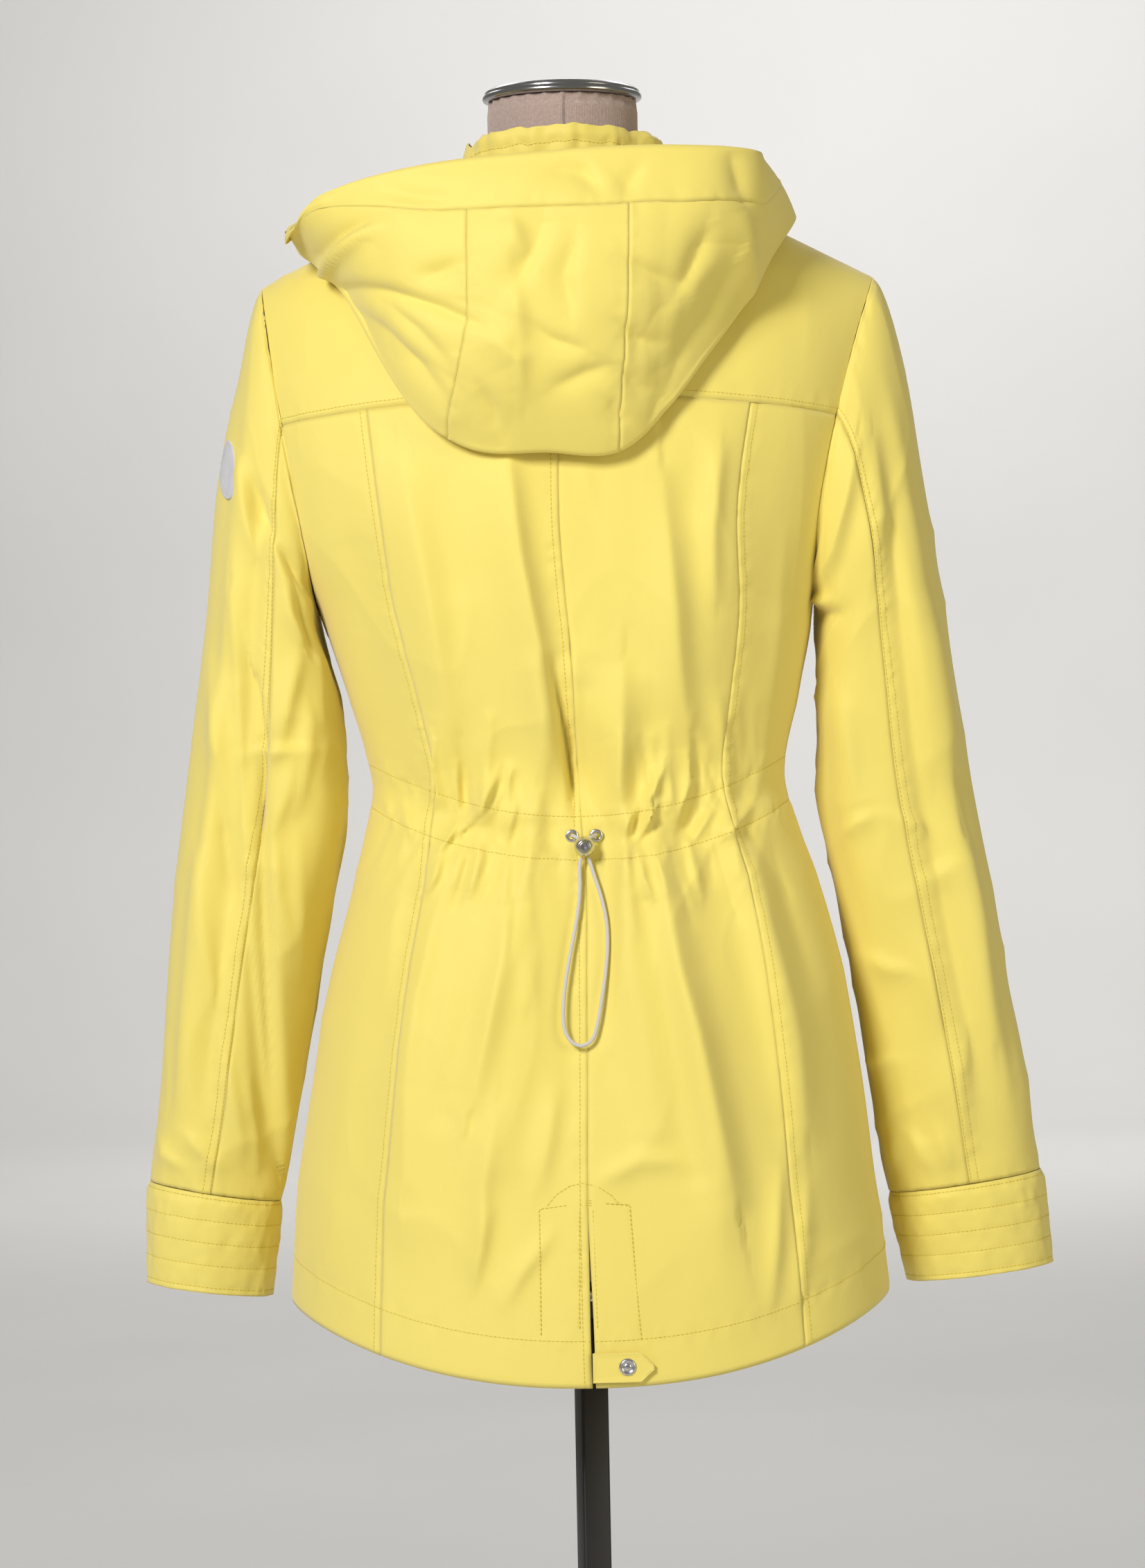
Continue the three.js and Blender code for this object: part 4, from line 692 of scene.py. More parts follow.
# Each sleeve is cut in two, a wide top piece and a narrow under piece, set into the armhole and
# topstitched down the back seam. It hangs empty, so long soft folds run down it.
ARMHOLE_BLEND, SLEEVE_BACK_SEAM, SLEEVE_FRONT_SEAM = 0.3, 0.25, 0.8125
SLEEVE_GIRTH, SLEEVE_LENGTH = 330, 640
SLEEVE_LEFT = table("at out_x out_z in_x in_z y deep", """
    0 203 1372 171 1158 2 62
    0.07 216 1342 169.5 1143 2 64
    0.16 225 1292 164 1122 1 63
    0.28 236 1230 156.5 1098 -1 60
    0.4 245 1150 153.5 1064 -4 57
    0.52 256 1062 153 1020 -7 54
    0.64 266.5 980 162 970 -10 52
    0.76 276 905 177 898 -14 49
    0.88 283 836 190 826 -18 45
    1 291 778 204 763 -22 40""")
SLEEVE_RIGHT = table("at out_x out_z in_x in_z y deep", """
    0 -205 1372 -161 1158 2 62
    0.07 -219 1346 -161.5 1144 2 64
    0.16 -227 1298 -161 1124 1 63
    0.28 -236 1230 -160.5 1100 -1 60
    0.4 -246 1155 -160.5 1066 -4 57
    0.52 -257 1068 -161.5 1020 -7 54
    0.64 -271 984 -169 972 -10 52
    0.76 -285 908 -183 900 -14 49
    0.88 -298 836 -193.5 826 -18 46
    1 -306 775 -205 761 -22 42""")
CUFF_LEFT = table("at out_x out_z in_x in_z y deep", """
    0 291 777.4 204 762.4 -22 40
    0.12 293.5 769 203.5 755 -22 41.5
    1 295 710 211 699 -25 39""")
CUFF_RIGHT = table("at out_x out_z in_x in_z y deep", """
    0 -306 774.4 -205 760.4 -22 42
    0.12 -309 766 -204.5 753 -22 43.5
    1 -314 712 -216 701 -25 41""")
SLEEVE_FOLDS = table("turn start end wide deep", """
    0.36 0.08 0.96 9 4
    0.3 0.14 0.94 8 -4.5
    0.14 0.3 0.75 12 3
    0.5 0.2 0.8 16 2
    0.68 0.25 0.85 12 -3
    0.8 0.2 0.9 12 3""")
# Short creases of the sleeves: turn and way down at both ends, in shares, width and height
LEFT_SLEEVE_DRAPES = drape_lines("""
    -14 20 3  211 1111  205 1072  207 1011  207 942  204 840  202 792
    5 10 7  224 1102  224 965  220 829
    7 4 14  224 1166  220 1084  219 1020  215 952  209 883  203 828  200 792
    6.5 7 4  217 1253  213 1220  208 1193
    -7 7 4  209 1239  204 1216  195 1203
    6.5 6 4  198 1207  191 1187  186 1173
    -7 6 4  193 1196  183 1183  174 1170
    7 7 4  188 1172  185 1152  177 1133
    -6.5 6 4  179 1165  174 1147  170 1128
    7.5 9 5  181 1124  188 1097  195 1065
    5.5 8 3  213 1063  197 1064  178 1065
    6.5 8 5  175 1088  177 1060  183 1028
    5.5 8 5  186 1060  192 1033  200 1011
    5 9 6  200 1001  199 970  193 938
    4 9 6  183 1010  185 965  184 919
    5.5 8 5  241 1121  237 1066  234 1020
    -5.5 7 4  237 1057  233 1011  229 966
    5 10 6  251 993  247 939  240 884
    5 8 5  238 875  231 838  226 801
    4 6 4  263 811  254 802  241 788
    4 6 4  281 807  277 797  267 789
    4 7 4  221 847  217 819  215 788
""")
RIGHT_SLEEVE_DRAPES = drape_lines("""
    8.5 12 5  -186 1258  -180 1222  -172 1186  -161 1163
    7 6 3  -156 1161  -164 1156  -170 1153
    -5.5 5 5  -158 1150  -167 1146  -177 1147
    6.5 12 7  -197 1258  -199 1213  -196 1172
    5.5 16 9  -214 1203  -223 1148  -230 1093  -233 1048
    6.5 12 7  -236 1139  -242 1093  -247 1048
    4 8 4  -176 1002  -185 1010  -195 1014
    4 8 4  -226 970  -237 974  -249 981
    4 8 4  -210 1014  -224 1007  -230 1000
    7 16 6  -254 993  -261 947  -267 901  -272 865
    5 12 7  -253 874  -248 833  -253 792
    4 8 4  -191 921  -204 913  -217 911
    4 8 4  -227 929  -232 902  -236 875
    3.5 7 4  -180 857  -193 850  -207 851
    4 7 4  -217 802  -224 792  -229 779
    4 7 4  -236 803  -240 791  -243 779
    4 7 4  -206 798  -208 788  -209 777
    3.5 10 6  -174 1095  -180 1058  -183 1026
""")
LEFT_CREASES = table("x z to_x to_z wide deep", """
    0.05 0.30 0.13 0.20 8 -3.5
    0.04 0.36 0.16 0.31 9 3.5
    0.03 0.42 0.15 0.40 8 -3
    0.06 0.48 0.19 0.42 9 3
    0.05 0.56 0.17 0.53 8 -2.4
    0.08 0.64 0.20 0.60 9 2.4
    0.27 0.22 0.27 0.55 6 2.2
    0.31 0.55 0.29 0.93 6 -2.6
    0.21 0.62 0.22 0.92 7 2
    0.10 0.72 0.20 0.80 8 2
    0.36 0.50 0.40 0.75 7 -2
    0.17 0.88 0.23 0.98 5 -2.4
    0.30 0.90 0.27 0.99 5 -3""")
RIGHT_CREASES = table("x z to_x to_z wide deep", """
    0.02 0.27 0.12 0.22 6 -4.5
    0.03 0.31 0.13 0.33 7 4
    0.04 0.38 0.12 0.43 8 -2.4
    0.10 0.50 0.22 0.58 9 2
    0.22 0.66 0.30 0.74 7 2.6
    0.18 0.72 0.28 0.79 6 -2
    0.08 0.74 0.18 0.82 8 2
    0.30 0.60 0.38 0.66 8 -1.8
    0.12 0.88 0.20 0.97 6 2.2
    0.26 0.86 0.30 0.98 6 -2
    0.05 0.84 0.09 0.97 6 2
    0.38 0.30 0.42 0.75 10 2.2""")


def armhole_place(turn, left):
    """Round the armhole: from the underarm up the back to the shoulder tip and down the front."""
    t = turn % 1
    side = np.where(t <= 0.5, 1, -1)
    return body_place(np.full_like(t, left), np.where(t <= 0.5, 1 + 4 * t, 1 + 4 * (1 - t)), side)


def sleeve_ring(rows, at, turn):
    """A rounded section whose inner and outer edges and half depth are the table's."""
    get = {name: column(rows, "at", name, at) for name in rows if name != "at"}
    c, s = np.cos(turn * 2 * np.pi), np.sin(turn * 2 * np.pi)
    return np.stack([(get["out_x"] + get["in_x"]) / 2 - (get["out_x"] - get["in_x"]) / 2 * c,
                     get["y"] + get["deep"] * np.sign(s) * np.abs(s) ** 0.9,
                     (get["out_z"] + get["in_z"]) / 2 - (get["out_z"] - get["in_z"]) / 2 * c], -1)


def sleeve_place(rows, left, turn, at):
    """The ring moved out by its long folds, and drawn to the armhole over its first third."""
    ring = sleeve_ring(rows, at, turn)
    centre = (sleeve_ring(rows, at, np.zeros_like(turn)) + sleeve_ring(rows, at, np.full_like(turn, 0.5))) / 2
    out = 0
    for fold, start, end, wide, deep in zip(*SLEEVE_FOLDS.values()):
        ends = ease(at, start, start + 0.15) * (1 - ease(at, end - 0.15, end))
        out = out + deep * np.exp(-((turn % 1 - fold) * SLEEVE_GIRTH / wide) ** 2) * ends
    away = ring - centre
    ring = ring + away / np.linalg.norm(away, axis=-1, keepdims=True) * np.asarray(out)[..., None]
    pull = (np.maximum(0, 1 - at / ARMHOLE_BLEND) ** 2)[..., None]
    return ring * (1 - pull) + armhole_place(turn, left) * pull


def sleeve_piece(node, rows, left, start, end, count, creases_of, behind, stitch):
    turn, at = np.meshgrid(np.linspace(start, end, count), np.linspace(0, 1, 190), indexing="ij")
    grid = sleeve_place(rows, left, turn, at)
    round_, down = (turn % 1) * SLEEVE_GIRTH, at * SLEEVE_LENGTH
    gap = edge_runs(grid)
    scaled = {"x": creases_of["x"] * SLEEVE_GIRTH, "z": creases_of["z"] * SLEEVE_LENGTH,
              "to_x": creases_of["to_x"] * SLEEVE_GIRTH, "to_z": creases_of["to_z"] * SLEEVE_LENGTH,
              "wide": creases_of["wide"], "deep": creases_of["deep"]}
    calm = ease(at, 0, 0.05) * (1 - 0.6 * ease(at, 0.97, 1))
    rear = ease(np.sin(turn * 2 * np.pi), 0.05, 0.35)
    relief = (strokes(scaled, round_, down, 1.3) * (1 - rear) + 1.3 * crumple(round_ / 28 + 5, down / 80 + left * 4)
              + 0.9 * creases(round_ / 40 + 3 * left, down / 62)
              + draped(behind, grid[..., 0], grid[..., 2]) * rear) * calm
    relief = relief + pressed(gap["first"]) + pressed(gap["last"]) + pressed(gap["foot"]) * 0.8
    relief = relief + stitched(gap["head"] - 1, round_, 4, 0.5) + stitched(gap["foot"] - 3, round_, 1, 0.6)
    for edge in stitch:
        relief = relief + stitched(gap[edge] - 6, down, left + 2, 0.6)
    shape, normal = cloth(node, grid, left, relief)
    for edge in stitch:
        sew("sleeves", *line_at(shape, normal, gap[edge], 6, 0))
        sew("sleeves", *line_at(shape, normal, gap[edge], 1.2, 0))


def cuff_piece(node, rows, left):
    """A doubled band with four rows of stitching that shir it slightly."""
    turn, at = np.meshgrid(np.linspace(0, 1, 120, endpoint=False), np.linspace(0, 1, 46), indexing="ij")
    grid = sleeve_ring(rows, at, turn)
    round_, down = turn * 280, at * 66
    relief = 0.8 * crumple(round_ / 11, down / 30) + 0.4 * crumple(round_ / 5, down / 14 + 3)
    relief = relief * ease(at, 0, 0.1)
    lines = (2.5, 17, 32, 47, 62)
    for k, offset in enumerate(lines):
        relief = relief + stitched(down - offset, round_, k * 3, 0.55)
    closed = np.concatenate([grid, grid[:1]])
    normal = outward(closed, left)[:-1]
    normal[0] = outward(np.concatenate([grid[-1:], grid[:2]]), left)[1]
    shape = grid + normal * relief[..., None]
    faces = quads(*grid.shape[:2], True)
    across, along = runs(grid)
    shown = piece(f"cloth_{node}", shape, faces if left > 0 else faces[:, ::-1], nylon,
                  np.stack([across, along], -1))
    wall = shown.modifiers.new("wall", "SOLIDIFY")
    wall.thickness, wall.offset = CLOTH_SHELL / 1000, -1
    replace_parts(shown, node)
    "cloth_sleeve_top_left" if left > 0 else "cloth_sleeve_top_right"
    for offset in lines:
        sew("sleeves", *line_at(shape, normal, down, offset, 1))


for name, left, rows, cuff, short, behind in (
        ("left", 1, SLEEVE_LEFT, CUFF_LEFT, LEFT_CREASES, LEFT_SLEEVE_DRAPES),
        ("right", -1, SLEEVE_RIGHT, CUFF_RIGHT, RIGHT_CREASES, RIGHT_SLEEVE_DRAPES)):
    sleeve_piece(f"sleeve_top_{name}", rows, left, SLEEVE_BACK_SEAM, SLEEVE_FRONT_SEAM, 92, short, behind,
                 ("first",))
    sleeve_piece(f"sleeve_under_{name}", rows, left, SLEEVE_FRONT_SEAM - 1, SLEEVE_BACK_SEAM, 56, short, behind, ())
    cuff_piece(f"cuff_{name}", cuff, left)

# The stand collar is a doubled strip that a cord inside its top edge puckers. It stands in the
# neck hole and opens at the centre front.
COLLAR_INSET, COLLAR_HEIGHT, COLLAR_FLARE, COLLAR_WAVES = 1.1, 50, 8, 7
COLLAR_FOOT = 2


def collar_place(turn, up):
    """An oval of the neck hole's width and depth, flared upwards, with a foot that follows the
    neck seam. turn is 0 at the nape and 1 or -1 at the zip."""
    c, s = np.cos(turn * np.pi), np.sin(turn * np.pi)
    behind = c > 0
    deep = np.abs(np.where(behind, NECK_BACK_Y, NECK_FRONT_Y) - NECK_MIDDLE)
    out = COLLAR_FLARE * up + 1.2 * np.sin(COLLAR_WAVES * np.pi * turn) * up - COLLAR_INSET
    foot = NECK_Z + (np.where(behind, NECK_BACK_Z, NECK_FRONT_Z) - NECK_Z) * np.abs(c) ** 1.4 - COLLAR_FOOT
    height = COLLAR_HEIGHT + (NECK_Z - COLLAR_FOOT - foot) * np.where(behind, 0.2, 0.75)
    return np.stack([-(NECK_X + out) * s, NECK_MIDDLE + (deep + out) * c, foot + height * up], -1)


def collar_out(turn, up):
    place = collar_place(turn, up)
    away = np.stack([place[..., 0], place[..., 1] - NECK_MIDDLE, np.zeros_like(place[..., 0])], -1)
    return away / np.linalg.norm(away, axis=-1, keepdims=True)


collar_end = 1 - (ZIP_WIDTH / 2 + SEAM) / (np.pi * NECK_X)
turn, up = np.meshgrid(np.linspace(-collar_end, collar_end, 210), np.linspace(0, 1, 34), indexing="ij")
grid = collar_place(turn, up)
girth = turn * 220
top_wave = 1.6 * crumple(girth / 13, 0 * girth) + 1.0 * crumple(girth / 6, 0 * girth + 4)
lowered = 22 * ease(np.abs(turn), 0.05, 0.5) * (1 - ease(np.abs(turn), 0.6, 0.95))
grid[..., 2] += (top_wave - lowered) * up ** 2
grid[..., :2] -= (grid[..., :2] - (0, NECK_MIDDLE)) * (lowered * up ** 2 * 0.006)[..., None]
relief = (1.9 * crumple(girth / 10, up * 1.2) * ease(up, 0.2, 0.9) + 0.9 * creases(girth / 12, up * 2) * up
          - 1.4 * np.exp(-((up - 0.99) / 0.06) ** 2))
gap = edge_runs(grid)
relief = relief + stitched(gap["head"] - 11, girth, 6, 0.8)
shape, normal = cloth("collar", grid, 1, relief)
sew("collar", *line_at(shape, normal, gap["head"], 11, 1))

# The hood hangs down the back on a fold: two sides, a straight centre strip between two double
# stitched seams, and a doubled band round the face edge, which lies level over the nape.
HOOD_SEAM_LEFT, HOOD_SEAM_RIGHT, HOOD_BAND = -0.125, 0.155, 0.1
HOOD_REST, HOOD_TURN, HOOD_CLEAR = 6.5, 5, 4.2
HOOD_EDGE = table("at x y z band", """
    -1 27 -82 1398 0.1
    -0.82 92 -68 1422 0.1
    -0.66 158 -14 1424 0.1
    -0.59 177 28 1405 0.1
    -0.52 184 66 1394 0.1
    -0.45 176 94 1404 0.1
    -0.38 156 114 1420 0.12
    -0.2 90 140 1434 0.114
    0.05 -4 150 1441 0.124
    0.18 -49 147 1443 0.128
    0.3 -88 140 1443 0.173
    0.38 -110 129 1443 0.24
    0.46 -125 110 1442 0.34
    0.6 -124 58 1439 0.3
    0.8 -92 -56 1427 0.15
    1 -27 -82 1398 0.1""")
HOOD_FOLD = table("at x over high low", """
    -1 27 3.2 0 2
    -0.82 92 3.25 3 4
    -0.66 150 3.12 10 8
    -0.52 167 2.84 13 12
    -0.4 142 2.46 12 16
    -0.26 106 2.06 20 26
    -0.14 66 1.85 26 34
    0.02 14 1.82 28 36
    0.16 -34 1.83 26 34
    0.3 -80 2.09 20 24
    0.42 -118 2.4 14 16
    0.54 -140 2.8 8 10
    0.66 -136 3.1 4 5
    0.82 -92 3.25 3 4
    1 -27 3.2 0 2""")
HOOD_DRAPES = drape_lines("""
    -12 5 5  159 1374  144 1385  124 1396
    7 6 5  157 1384  140 1393  121 1401
    7 8 4  155 1363  116 1354  81 1342  55 1329
    6 9 5  143 1349  117 1327  95 1305  79 1287
    4.5 7 4  117 1345  95 1328  78 1309
    -6 14 6  60 1327  42 1318  31 1308  31 1287
    5.5 10 5  94 1362  81 1365  69 1370
    -5.5 12 6  34 1361  32 1338  30 1316
    6 10 6  15 1391  25 1369  39 1347
    -5.5 12 6  35 1399  31 1382  24 1373
    5.5 9 5  -6 1382  2 1360  -2 1338
    4.5 8 4  24 1330  11 1320  -10 1313
    5.5 9 5  -38 1368  -60 1359  -77 1350
    6 10 5  -91 1389  -85 1371  -73 1350
    8 16 7  -106 1367  -93 1336  -76 1310  -61 1284
    5.5 9 5  -33 1328  -46 1319  -60 1315
    4.5 9 5  -34 1298  -45 1289  -54 1286
    -5.5 9 6  -113 1402  -117 1375  -118 1349
    4.5 8 5  9 1290  -10 1298  -25 1302
    4.5 8 5  56 1291  49 1277  46 1264
    4 8 4  -25 1280  -32 1272  -38 1267
    4.5 7 4  -8 1434  -15 1423  -22 1414
    4 7 4  -48 1429  -42 1420  -37 1410
    4 7 4  9 1426  -1 1430  -13 1426
    4 9 5  115 1419  93 1414  76 1412
    4.5 8 5  -106 1440  -111 1424  -114 1405
""")


def body_facing(share, level, side):
    """The body's outward direction, from places a fiftieth of a share and of a level apart."""
    step = 0.02
    share_low, share_high = np.maximum(-1, share - step), np.minimum(1, share + step)
    level_low, level_high = np.maximum(0, level - step), np.minimum(2.97, level + step)
    across = body_place(share_high, level, side) - body_place(share_low, level, side)
    up = body_place(share, level_high, side) - body_place(share, level_low, side)
    facing_ = np.cross(across, up) * -side[..., None]
    return facing_ / np.linalg.norm(facing_, axis=-1, keepdims=True)


def over_body(x, over):
    """A place on the body by its distance sideways and the way over the shoulder: 1 underarm,
    2 yoke seam, 3 shoulder seam, 4 the same way down the front."""
    side = np.where(over <= 3, 1, -1)
    level = np.where(over <= 3, over, 6 - over)
    s = x / SHOULDER_X
    for _ in range(3):
        z = body_height(s, level, side)
        s = np.clip((x - column(BODY, "z", "mid", z)) / column(BODY, "z", "half", z), -1, 1)
    share = np.arcsin(s) / (np.pi / 2)
    return body_place(share, level, side), body_facing(share, np.minimum(level, 2.97), side)


def clear_of_collar(place):
    """Moves points sideways until they are clear of the collar's outer face."""
    deep = np.abs(np.where(place[..., 1] > NECK_MIDDLE, NECK_BACK_Y, NECK_FRONT_Y) - NECK_MIDDLE)
    turn = np.arctan2(-place[..., 0] / NECK_X, (place[..., 1] - NECK_MIDDLE) / deep) / np.pi
    foot, head = collar_place(turn, 0 * turn)[..., 2], collar_place(turn, 0 * turn + 1)[..., 2]
    up = np.clip((place[..., 2] - foot) / (head - foot), 0, 1)
    face = collar_place(turn, up) + collar_out(turn, up) * HOOD_CLEAR
    reach = np.hypot(face[..., 0], face[..., 1] - NECK_MIDDLE)
    now = np.maximum(np.hypot(place[..., 0], place[..., 1] - NECK_MIDDLE), 1e-6)
    more = np.maximum(1, reach / now)
    return np.stack([place[..., 0] * more, NECK_MIDDLE + (place[..., 1] - NECK_MIDDLE) * more,
                     place[..., 2]], -1)


def hood_place(at, q):
    """Down the hood: a Bezier from the face edge over the belly, a half round at the fold that it
    hangs from, and a layer that lies on the back up to the neck seam."""
    edge = np.stack([column(HOOD_EDGE, "at", name, at) for name in "xyz"], -1)
    x, over = column(HOOD_FOLD, "at", "x", at), column(HOOD_FOLD, "at", "over", at)
    foot, out = over_body(x, over)
    neck = collar_place(at * 0.93, 0.12 + 0 * at) + collar_out(at * 0.93, 0.12 + 0 * at) * HOOD_CLEAR
    fold = foot + out * (HOOD_REST + HOOD_TURN)
    down = fold - neck
    down = down - out * (down * out).sum(-1, keepdims=True)
    down /= np.linalg.norm(down, axis=-1, keepdims=True)
    upper = fold + out * HOOD_TURN
    t = np.clip(q / 0.6, 0, 1)[..., None]
    high, low = (column(HOOD_FOLD, "at", name, at)[..., None] for name in ("high", "low"))
    first = edge + (upper - edge) * 0.33 + out * high
    second = edge + (upper - edge) * 0.72 + out * low
    last = upper - second
    lean = np.arctan2(-(last * out).sum(-1), np.maximum((last * down).sum(-1), 1e-3))
    begin = np.clip(lean, 0, 1.3)[..., None]
    upper = fold + HOOD_TURN * (out * np.cos(begin) + down * np.sin(begin))
    belly = (edge * (1 - t) ** 3 + first * 3 * (1 - t) ** 2 * t + second * 3 * (1 - t) * t ** 2 + upper * t ** 3)
    angle = begin + (np.pi - begin) * np.clip((q - 0.6) / 0.15, 0, 1)[..., None]
    turned = fold + HOOD_TURN * (out * np.cos(angle) + down * np.sin(angle))
    t = np.clip((q - 0.75) / 0.25, 0, 1)
    neck_over = np.where(np.abs(at) < 0.5, 2.97, 3.03)
    way, way_out = over_body(x + (neck[..., 0] - x) * t, over + (neck_over - over) * t)
    end, end_out = over_body(neck[..., 0], neck_over)
    rest = way + way_out * HOOD_REST + (neck - end - end_out * HOOD_REST) * (t ** 4)[..., None]
    q = q[..., None]
    return np.where(q <= 0.6, belly, np.where(q <= 0.75, turned, clear_of_collar(rest)))


def hood_piece(node, start, end, count, rows, seams):
    """A piece of the hood. The band is wider over the right shoulder, so the rows are moved down,
    and the left seam leans away from the middle near the fold."""
    at, q = np.meshgrid(np.linspace(start, end, count), rows, indexing="ij")
    wide = column(HOOD_EDGE, "at", "band", at)
    at = at - 0.045 * ease(q, 0.3, 0.6) * np.exp(-((at - HOOD_SEAM_LEFT) / 0.2) ** 2)
    lower = wide + (q - HOOD_BAND) * (0.6 - wide) / (0.6 - HOOD_BAND)
    q = np.where(q <= HOOD_BAND, q * wide / HOOD_BAND, np.where(q < 0.6, lower, q))
    grid = hood_place(at, q)
    gap = edge_runs(grid)
    x, z = grid[..., 0], grid[..., 2]
    outer = 1 - ease(q, 0.58, 0.68)
    calm = outer * ease(q, 0, 0.05) * (1 - ease(np.abs(at), 0.6, 0.7))
    relief = (draped(HOOD_DRAPES, x, z) + 1.2 * crumple(x / 34 + 8, z / 34 + 2)
              + 1.1 * creases(x / 48 + 1, z / 44 + 4)) * calm
    for edge, offsets in seams.items():
        relief = relief + pressed(gap[edge]) * outer
        for offset in offsets:
            relief = relief + stitched(gap[edge] - offset, z, offset + start, 0.5) * outer
    if node == "hood_band":
        relief = relief + stitched(gap["head"] - 3, x, 4, 0.5) - 0.5 * np.exp(-(gap["foot"] / 1.4) ** 2)
    shape, normal = cloth(node, grid, 1, relief)
    seen = int((rows <= 0.6).sum())
    for edge, offsets in seams.items():
        for offset in offsets:
            line, facing_ = line_at(shape, normal, gap[edge], offset, 0)
            sew("hood", line[:seen], facing_[:seen])
    if node == "hood_band":
        sew("hood", *line_at(shape, normal, gap["head"], 3, 1))


down_rows = np.concatenate([np.linspace(HOOD_BAND, 0.6, 74), np.linspace(0.6, 0.75, 18)[1:],
                            np.linspace(0.75, 1, 26)[1:]])
hood_piece("hood_side_left", -1, HOOD_SEAM_LEFT, 108, down_rows, {"last": (3,)})
hood_piece("hood_centre", HOOD_SEAM_LEFT, HOOD_SEAM_RIGHT, 46, down_rows, {"first": (3,), "last": (3,)})
hood_piece("hood_side_right", HOOD_SEAM_RIGHT, 1, 108, down_rows, {"first": (3,)})
hood_piece("hood_band", -1, 1, 250, np.linspace(0, HOOD_BAND, 12), {})

# At the foot of the spine seam is a vent, faced inside and held by a pointed tab that a ring
# snap fastens. The facing's stitching shows as a box with an arched top.
TAB_LEFT, TAB_RIGHT, TAB_MIDDLE, TAB_HALF, TAB_POINT, TAB_LIFT = -3, -42, 667, 9.5, 9, 1.95
SNAP_X, SNAP_Z, SNAP_RADIUS = -25, 667.5, 5.6


def on_back(x, z, lift=0.0, extra=None):
    """A place on the back at a distance sideways and a height, and its outward direction."""
    x, z = np.asarray(x, float), np.asarray(z, float)
    s = np.clip((x - column(BODY, "z", "mid", z)) / column(BODY, "z", "half", z), -1, 1)
    share, hem = np.arcsin(s) / (np.pi / 2), hem_height(s, 1)
    level = np.clip((z - hem) / (UNDERARM - hem), 0, 1)
    side = np.ones_like(share)
    out = body_facing(share, level, side)
    return body_place(share, level, side, extra) + out * lift, out


def lathe(profile, sides, centre, axis, squash_=1.0):
    """A profile of radius and height turned round an axis through a centre; closed at both ends
    where its radius is 0."""
    radius, height = np.array(profile, float).T
    axis = np.asarray(axis, float) / np.linalg.norm(axis)
    side = np.cross(axis, (0, 0, 1) if abs(axis[2]) < 0.9 else (1, 0, 0))
    side /= np.linalg.norm(side)
    other = np.cross(axis, side)
    turn = np.linspace(0, 2 * np.pi, sides, endpoint=False)[:, None, None]
    ring = (np.cos(turn) * side + np.sin(turn) * other * squash_) * radius[:, None]
    points = np.asarray(centre) + ring + height[:, None] * axis
    return points.reshape(-1, 3), quads(sides, len(radius), True)


def rounded(profile, radius, steps=5):
    """A profile whose corners are cut by short arcs: each corner becomes points on a parabola
    between the two places a radius before and after it."""
    profile = np.array(profile, float)
    out = [profile[0]]
    for before, corner, after in zip(profile[:-2], profile[1:-1], profile[2:]):
        reach = [min(radius, np.linalg.norm(end - corner) * 0.45) for end in (before, after)]
        a = corner + (before - corner) / max(np.linalg.norm(before - corner), 1e-9) * reach[0]
        b = corner + (after - corner) / max(np.linalg.norm(after - corner), 1e-9) * reach[1]
        out += [a * (1 - t) ** 2 + corner * 2 * t * (1 - t) + b * t * t for t in np.linspace(0, 1, steps)]
    return out + [profile[-1]]


def turned(name, profile, centre, axis, material, slot, sides=64, radius=0.4, node=None):
    points, faces = lathe(rounded(profile, radius), sides, centre, axis)
    shown = piece(name, points, faces, material)
    if node:
        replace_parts(shown, node)
    return shown


def polished(name, colour=(0.72, 0.72, 0.73), rough=0.16):
    """Plated metal: bright, with faint rubbed patches."""
    paint = Paint(name)
    rubbed = paint.noise(220, 3)
    return paint.finish(paint.mix(rubbed, colour, tuple(0.84 * part for part in colour)), metallic=1.0,
                        roughness=rubbed * 0.14 + rough, normal=paint.bump(rubbed, 0.0001, 0.2))


plated = polished("plated_metal")
u, v = np.meshgrid(np.linspace(0, 1, 44), np.linspace(-1, 1, 24), indexing="ij")
half = TAB_HALF * np.minimum(1, (TAB_LEFT - TAB_RIGHT) * (1.02 - u) / TAB_POINT * 0.9 + 0.08)
grid, _ = on_back(TAB_LEFT + (TAB_RIGHT - TAB_LEFT) * u, TAB_MIDDLE + half * v, TAB_LIFT)
gap = edge_runs(grid)
nearest = np.minimum(np.minimum(gap["first"], gap["last"]), np.minimum(gap["foot"], gap["head"]))
relief = -0.9 * np.exp(-(nearest / 0.7) ** 2) - 0.25 * np.exp(-((nearest - 1.9) / 0.6) ** 2)
shape, normal = cloth("vent_tab", grid, -1, relief)
for edge in ("foot", "head"):
    sew("back", *line_at(shape, normal, gap[edge], 1.9, 1))
sew("back", *line_at(shape, normal, gap["first"], 1.2, 0))
seat, snap_out = on_back(SNAP_X, SNAP_Z, TAB_LIFT + 0.5)
turned("ring_snap", [(0, 0), (SNAP_RADIUS, 0), (SNAP_RADIUS, 0.9), (SNAP_RADIUS - 1, 1.8), (3.6, 1.7),
                     (3.2, 1.1), (2.4, 1.0), (1.6, 1.4), (0, 1.5)], seat, snap_out, plated, "bright_metal",
       node="vent_snap")


def stitch_path(group, corners, steps=60):
    """A row of stitching that follows corners given as places on the back."""
    corners = np.array(corners, float)
    run = np.r_[0, np.cumsum(np.linalg.norm(np.diff(corners, axis=0), axis=1))]
    even = np.linspace(0, run[-1], steps)
    x, z = np.interp(even, run, corners[:, 0]), np.interp(even, run, corners[:, 1])
    points, directions = on_back(x, z, 0.8, back_detail)
    sew(group, points, directions)


